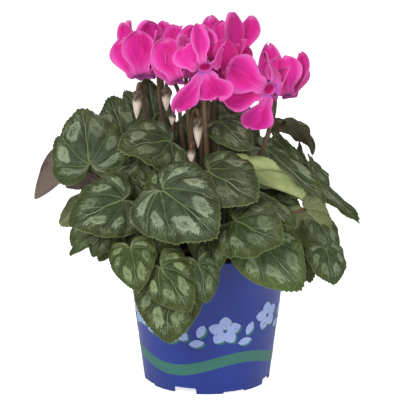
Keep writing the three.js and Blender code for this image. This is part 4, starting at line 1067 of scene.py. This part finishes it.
def stalk_piece(name, node, item, tube_radius, offset):
    """A hooked stalk with its calyx, in place of one CAD node."""
    axis = Vector(item["axis"]).normalized()
    base = Vector(item["at"]) - axis * offset
    bm = bmesh.new()
    grow_calyx(bm, axis, base, tube_radius)
    path = hooked_path(item, axis, base - axis * CALYX_BASE / 2)
    radii = [FLOWER_STALK_RADIUS * (1.05 - 0.25 * k / (len(path) - 1)) for k in range(len(path))]
    grow_stalk(bm, path, radii, 10)
    bmesh.ops.recalc_face_normals(bm, faces=bm.faces)
    piece = mesh_piece(name, bm, [stalk_material, sepal_material])
    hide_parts(node)
    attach(piece, "root")


for i, flower in enumerate(FLOWERS, 1):
    stalk_piece(f"flower_{i}_crook", f"flower_{i}_stalk", flower, TUBE_RADIUS, TUBE_LENGTH + CLEARANCE)
for i, bud in enumerate(BUDS, 1):
    stalk_piece(f"bud_{i}_crook", f"bud_{i}_stalk", bud, BUD_RADIUS, 0)


# Flowers
# Five broad, velvety petals turn sharply back from the mouth of a short tube and twist a little. They are hot pink
# with fine darker veins, paler at the edge, and violet at the mouth. Two flowers set back among the others, and the
# inside of every tube, are painted deep magenta as painted shade.
MOUTH_RADIUS = 5.6
PETAL_THICKNESS = 0.5
THIN_SHEET = 0.02
PETAL_TURN_RADIUS = 2.6
USUAL_PETAL = {"length": 34, "width": 21, "twist": 35, "turn": 0}
PAINTED_SHADE_FLOWERS = {6: 0.7, 8: 0.6}
FIRST_PETAL = 56
PETAL_STEP = 62
PETAL_ROWS = 30
PETAL_COLUMNS = 20
WIDEST = 0.68
PETAL_PINK = (0.74, 0.019, 0.34, 1)
PETAL_DEEP = (0.6, 0.002, 0.2, 1)
PETAL_EDGE = (0.84, 0.21, 0.62, 1)
PETAL_VIOLET = (0.42, 0.1, 0.5, 1)
PETAL_LILAC = (0.76, 0.2, 0.56, 1)

petal_material, petal_shader = new_material(
    "petal_velvet", Roughness=0.62, Sheen_Weight=0.15, Sheen_Tint=(1, 0.7, 0.9, 1), Specular_IOR_Level=0.25,
    Subsurface_Weight=0.25, Subsurface_Radius=(0.004, 0.001, 0.002),
)
petal_plan = attribute(petal_shader, "petal_plan")[0]
run, across, petal_seed = parts(petal_plan)
petal_veins = cloud(combined(petal_material.node_tree, run * 1.2, across * 11.0, petal_seed), 2.2, 4, 0.6)
petal_broad = cloud(petal_plan, 2.3)
edge_share = abs(across)
deep_mask = petal_broad.ranged(0.35, 0.65) * edge_share.ranged(0.85, 0.2)
edge_mask = edge_share.larger(run.ranged(0.76, 1.02)).ranged(0.6, 1.0)
lilac_mask = (0.5 * petal_broad + run).ranged(0.68, 0.3, 0.0, 0.4)
violet_mask = (0.12 * petal_veins + run).ranged(0.2, 0.08, 0.0, 0.85)
colour = (0.85 * deep_mask).blend(PETAL_PINK, PETAL_DEEP)
colour = (0.55 * edge_mask).blend(colour, PETAL_EDGE)
colour = lilac_mask.blend(colour, PETAL_LILAC)
# Painted shade: the set-back flowers and the inside of each tube carry a share that turns them deep magenta.
colour = Field(attribute(petal_shader, "petal_painted_shade")[1]).blend(colour, PETAL_DEEP)
colour = violet_mask.blend(colour, PETAL_VIOLET)
dress(petal_shader, shaded(colour, petal_veins.ranged(0.35, 0.65, 0.84, 1.08)), petal_veins, 0.35, 0.0004)


def petal_half_width(run):
    """A narrow claw that widens to a broad, rounded limb, as a share of the petal's half width."""
    claw = 0.26 + 0.26 * run / 0.18
    limb = 1.16 * math.sin(min(1, max(0, (run - 0.02) / WIDEST)) * math.pi / 2) ** 1.5
    rounding = math.sqrt(max(0, 1 - (max(0, run - WIDEST) / 0.323) ** 2.5))
    return max(min(claw, 0.52), limb) * rounding


def grow_petal(bm, petal, axis, out, number):
    """Bends a grid back over the mouth, twists it and waves its edge."""
    plan_layer = bm.verts.layers.float_vector["petal_plan"]
    painted_shade_layer = bm.verts.layers.float["petal_painted_shade"]
    length = petal["length"]
    half = petal["width"] / 2
    turn_by = math.pi - math.radians(petal["spread"])
    arc = PETAL_TURN_RADIUS * turn_by
    around = axis.cross(out)
    chance = random.Random(number)
    ripple, phase, curl = chance.uniform(1.4, 2.8), chance.uniform(0, 6.28), chance.uniform(0.4, 3.4)
    bow, notch, lopsided = chance.uniform(6, 22), chance.uniform(0, 0.06), chance.uniform(-0.12, 0.12)
    for v in bmesh.ops.create_grid(bm, x_segments=PETAL_COLUMNS, y_segments=PETAL_ROWS, size=1)["verts"]:
        s = math.copysign(1 - (1 - abs(v.co.x)) ** 1.8, v.co.x)
        run_share = 1 - max(0, (1 - v.co.y) / 2) ** 1.5
        width_share = petal_half_width(run_share)
        run_mm = run_share * length * (1 - 0.07 * (s * width_share) ** 2 * run_share)
        run_mm *= 1 - run_share ** 3 * (notch * math.exp(-((s / 0.45) ** 2)) - lopsided * s * width_share)
        turned_by = min(1, run_mm / arc) * turn_by
        rest = max(0, run_mm - arc)
        lean = turn_by + math.radians(bow) * rest / length
        spine = Vector(petal["at"])
        spine += out * (MOUTH_RADIUS - 0.8 + PETAL_TURN_RADIUS * (1 - math.cos(turned_by)) + rest * math.sin(lean))
        spine += axis * (PETAL_TURN_RADIUS * math.sin(turned_by) - 0.4 + rest * math.cos(lean))
        heading = lean if rest > 0 else turned_by
        normal = axis * math.sin(heading) - out * math.cos(heading)
        forward = out * math.sin(heading) + axis * math.cos(heading)
        twist = Quaternion(forward, math.radians(petal["twist"]) * run_share ** 0.7)
        side = around.copy()
        side.rotate(twist)
        normal.rotate(twist)
        lift = curl * abs(s) * run_share + ripple * math.sin(4.5 * s + phase + 3 * run_share) * run_share ** 2 * abs(s)
        lift += 0.8 * math.sin(9 * run_share + phase) * s * s * run_share
        width = s * half * width_share * (1 + 0.05 * math.sin(7 * run_share + phase) * run_share)
        v[plan_layer] = Vector((run_share, s, number * 1.7))
        v[painted_shade_layer] = petal["depth"]
        v.co = (spine + side * width + normal * lift) * MM


def grow_tube(bm, base, axis):
    """Spins the short tube with its open mouth, and places it."""
    profile = [(0, -TUBE_LENGTH), (2.4, CUP_DEPTH * 0.45 - TUBE_LENGTH), (TUBE_RADIUS, CUP_DEPTH - TUBE_LENGTH),
               (4.6, -3.5), (MOUTH_RADIUS - 0.2, -0.8), (MOUTH_RADIUS, 0), (MOUTH_RADIUS - 0.5, 0.35),
               (MOUTH_RADIUS - 1.3, 0.1), (3.6, -1.5), (2.4, -3.6), (0, -5)]
    verts = spun(bm, profile, 30)
    for v in verts:
        inside = v.co.z > -TUBE_LENGTH + 3 and math.hypot(v.co.x, v.co.y) < 3.7
        v[bm.verts.layers.float_vector["petal_plan"]] = Vector((0.3 if inside else 0.1, 0, 0))
        # The inside of the tube gets painted shade.
        v[bm.verts.layers.float["petal_painted_shade"]] = 0.9 if inside else 0
    hang(bm, verts, base, axis)


for i, flower in enumerate(FLOWERS, 1):
    axis = Vector(flower["axis"]).normalized()
    bm = bmesh.new()
    bm.verts.layers.float_vector.new("petal_plan")
    bm.verts.layers.float.new("petal_painted_shade")
    for k in range(5):
        # The petal's depth is its share of painted shade.
        petal = {**USUAL_PETAL, "depth": PAINTED_SHADE_FLOWERS.get(i, 0), **flower, **flower.get("petals", [{}] * 5)[k]}
        out = hook_side(flower, axis)
        out.rotate(Quaternion(axis, math.radians(FIRST_PETAL + PETAL_STEP * k + petal["turn"])))
        grow_petal(bm, petal, axis, out, 5 * i + k)
    bmesh.ops.recalc_face_normals(bm, faces=bm.faces)
    bmesh.ops.solidify(bm, geom=bm.faces, thickness=THIN_SHEET * MM)
    bmesh.ops.recalc_face_normals(bm, faces=bm.faces)
    bm.normal_update()
    for v in bm.verts:
        v.co += v.normal * (PETAL_THICKNESS / 2 * MM)
    grow_tube(bm, Vector(flower["at"]), axis)
    bmesh.ops.remove_doubles(bm, verts=bm.verts, dist=1e-7)
    bmesh.ops.recalc_face_normals(bm, faces=bm.faces)
    piece = mesh_piece(f"flower_{i}_bloom", bm, [petal_material])
    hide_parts(f"flower_{i}_petals")
    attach(piece, "root")


# Buds
# Pointed hanging buds, whose cream petals are still rolled round each other, flushed with pink and brown at the top.
# Two very young ones are small and close to their stalks.
YOUNG_BUDS = [
    {"at": (-12, -56, 192), "axis": (0, -0.2, -1), "length": 11, "hook": (0.2, 1, 0), "seat": (-4.6, -12.2)},
    {"at": (-26, -24, 214), "axis": (-0.1, -0.1, -1), "length": 9, "hook": (0, 1, 0), "seat": (-6.6, -0.6)},
]
YOUNG_BUD_RADIUS = 2.8
YOUNG_STALK_RADIUS = 1.5
BUD_TWIST = 110 / 360
BUD_SHAPE = [(0, 0), (0.04, 0.5), (0.1, 0.86), (0.18, 1), (0.3, 0.99), (0.42, 0.92), (0.54, 0.81), (0.66, 0.66),
             (0.77, 0.5), (0.87, 0.33), (0.95, 0.16), (1, 0)]
BUD_CREAM = (0.72, 0.62, 0.5, 1)
BUD_BLUSH = (0.45, 0.24, 0.2, 1)
BUD_TOP = (0.09, 0.06, 0.04, 1)

bud_material, bud_shader = new_material("bud_petals", Roughness=0.6, Sheen_Weight=0.2)
along, rolled, bud_number = parts(attribute(bud_shader, "bud_plan")[0])
bud_streaks = cloud(combined(bud_material.node_tree, along * 1.5, rolled * 7.0, bud_number), 2.5, 4)
colour = bud_streaks.ranged(0.5, 0.68, 0.0, 0.7).blend(BUD_CREAM, BUD_BLUSH)
colour = (0.5 * bud_streaks + along).ranged(0.72, 0.42).blend(colour, BUD_TOP)
dress(bud_shader, colour, bud_streaks, 0.4, 0.0003)


def grow_bud(bm, axis, base, length, radius, number):
    """Spins a spindle with the edges of its rolled petals winding round it, and places it."""
    plan_layer = bm.verts.layers.float_vector["bud_plan"]
    verts = spun(bm, [(radius * r, length * t) for t, r in BUD_SHAPE], 40)
    for v in verts:
        share = v.co.z / length
        rolled = 5 * (math.atan2(v.co.y, v.co.x) / (2 * math.pi) - share * BUD_TWIST) % 1
        swell = 1 + 0.11 * (rolled - 0.5)
        v[plan_layer] = Vector((share, rolled, number))
        v.co.x *= swell
        v.co.y *= swell
    hang(bm, verts, base, axis)


for i, bud in enumerate(BUDS, 1):
    axis = Vector(bud["axis"]).normalized()
    bm = bmesh.new()
    bm.verts.layers.float_vector.new("bud_plan")
    grow_bud(bm, axis, Vector(bud["at"]) + axis * CLEARANCE, bud["length"], BUD_RADIUS, i)
    bmesh.ops.recalc_face_normals(bm, faces=bm.faces)
    piece = mesh_piece(f"bud_{i}_rolled", bm, [bud_material])
    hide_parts(f"bud_{i}_petals")
    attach(piece, "root")
for i, bud in enumerate(YOUNG_BUDS, 1):
    axis = Vector(bud["axis"]).normalized()
    base = Vector(bud["at"])
    bm = bmesh.new()
    bm.verts.layers.float_vector.new("bud_plan")
    path = hooked_path(bud, axis, base + axis * 0.8)
    radii = [YOUNG_STALK_RADIUS * (1.05 - 0.2 * k / (len(path) - 1)) for k in range(len(path))]
    grow_stalk(bm, path, radii, 8, material_index=1)
    grow_bud(bm, axis, base, bud["length"], YOUNG_BUD_RADIUS, 10 + i)
    bmesh.ops.recalc_face_normals(bm, faces=bm.faces)
    piece = mesh_piece(f"young_bud_{i}_rolled", bm, [bud_material, stalk_material])
    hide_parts(f"young_bud_{i}")
    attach(piece, "root")
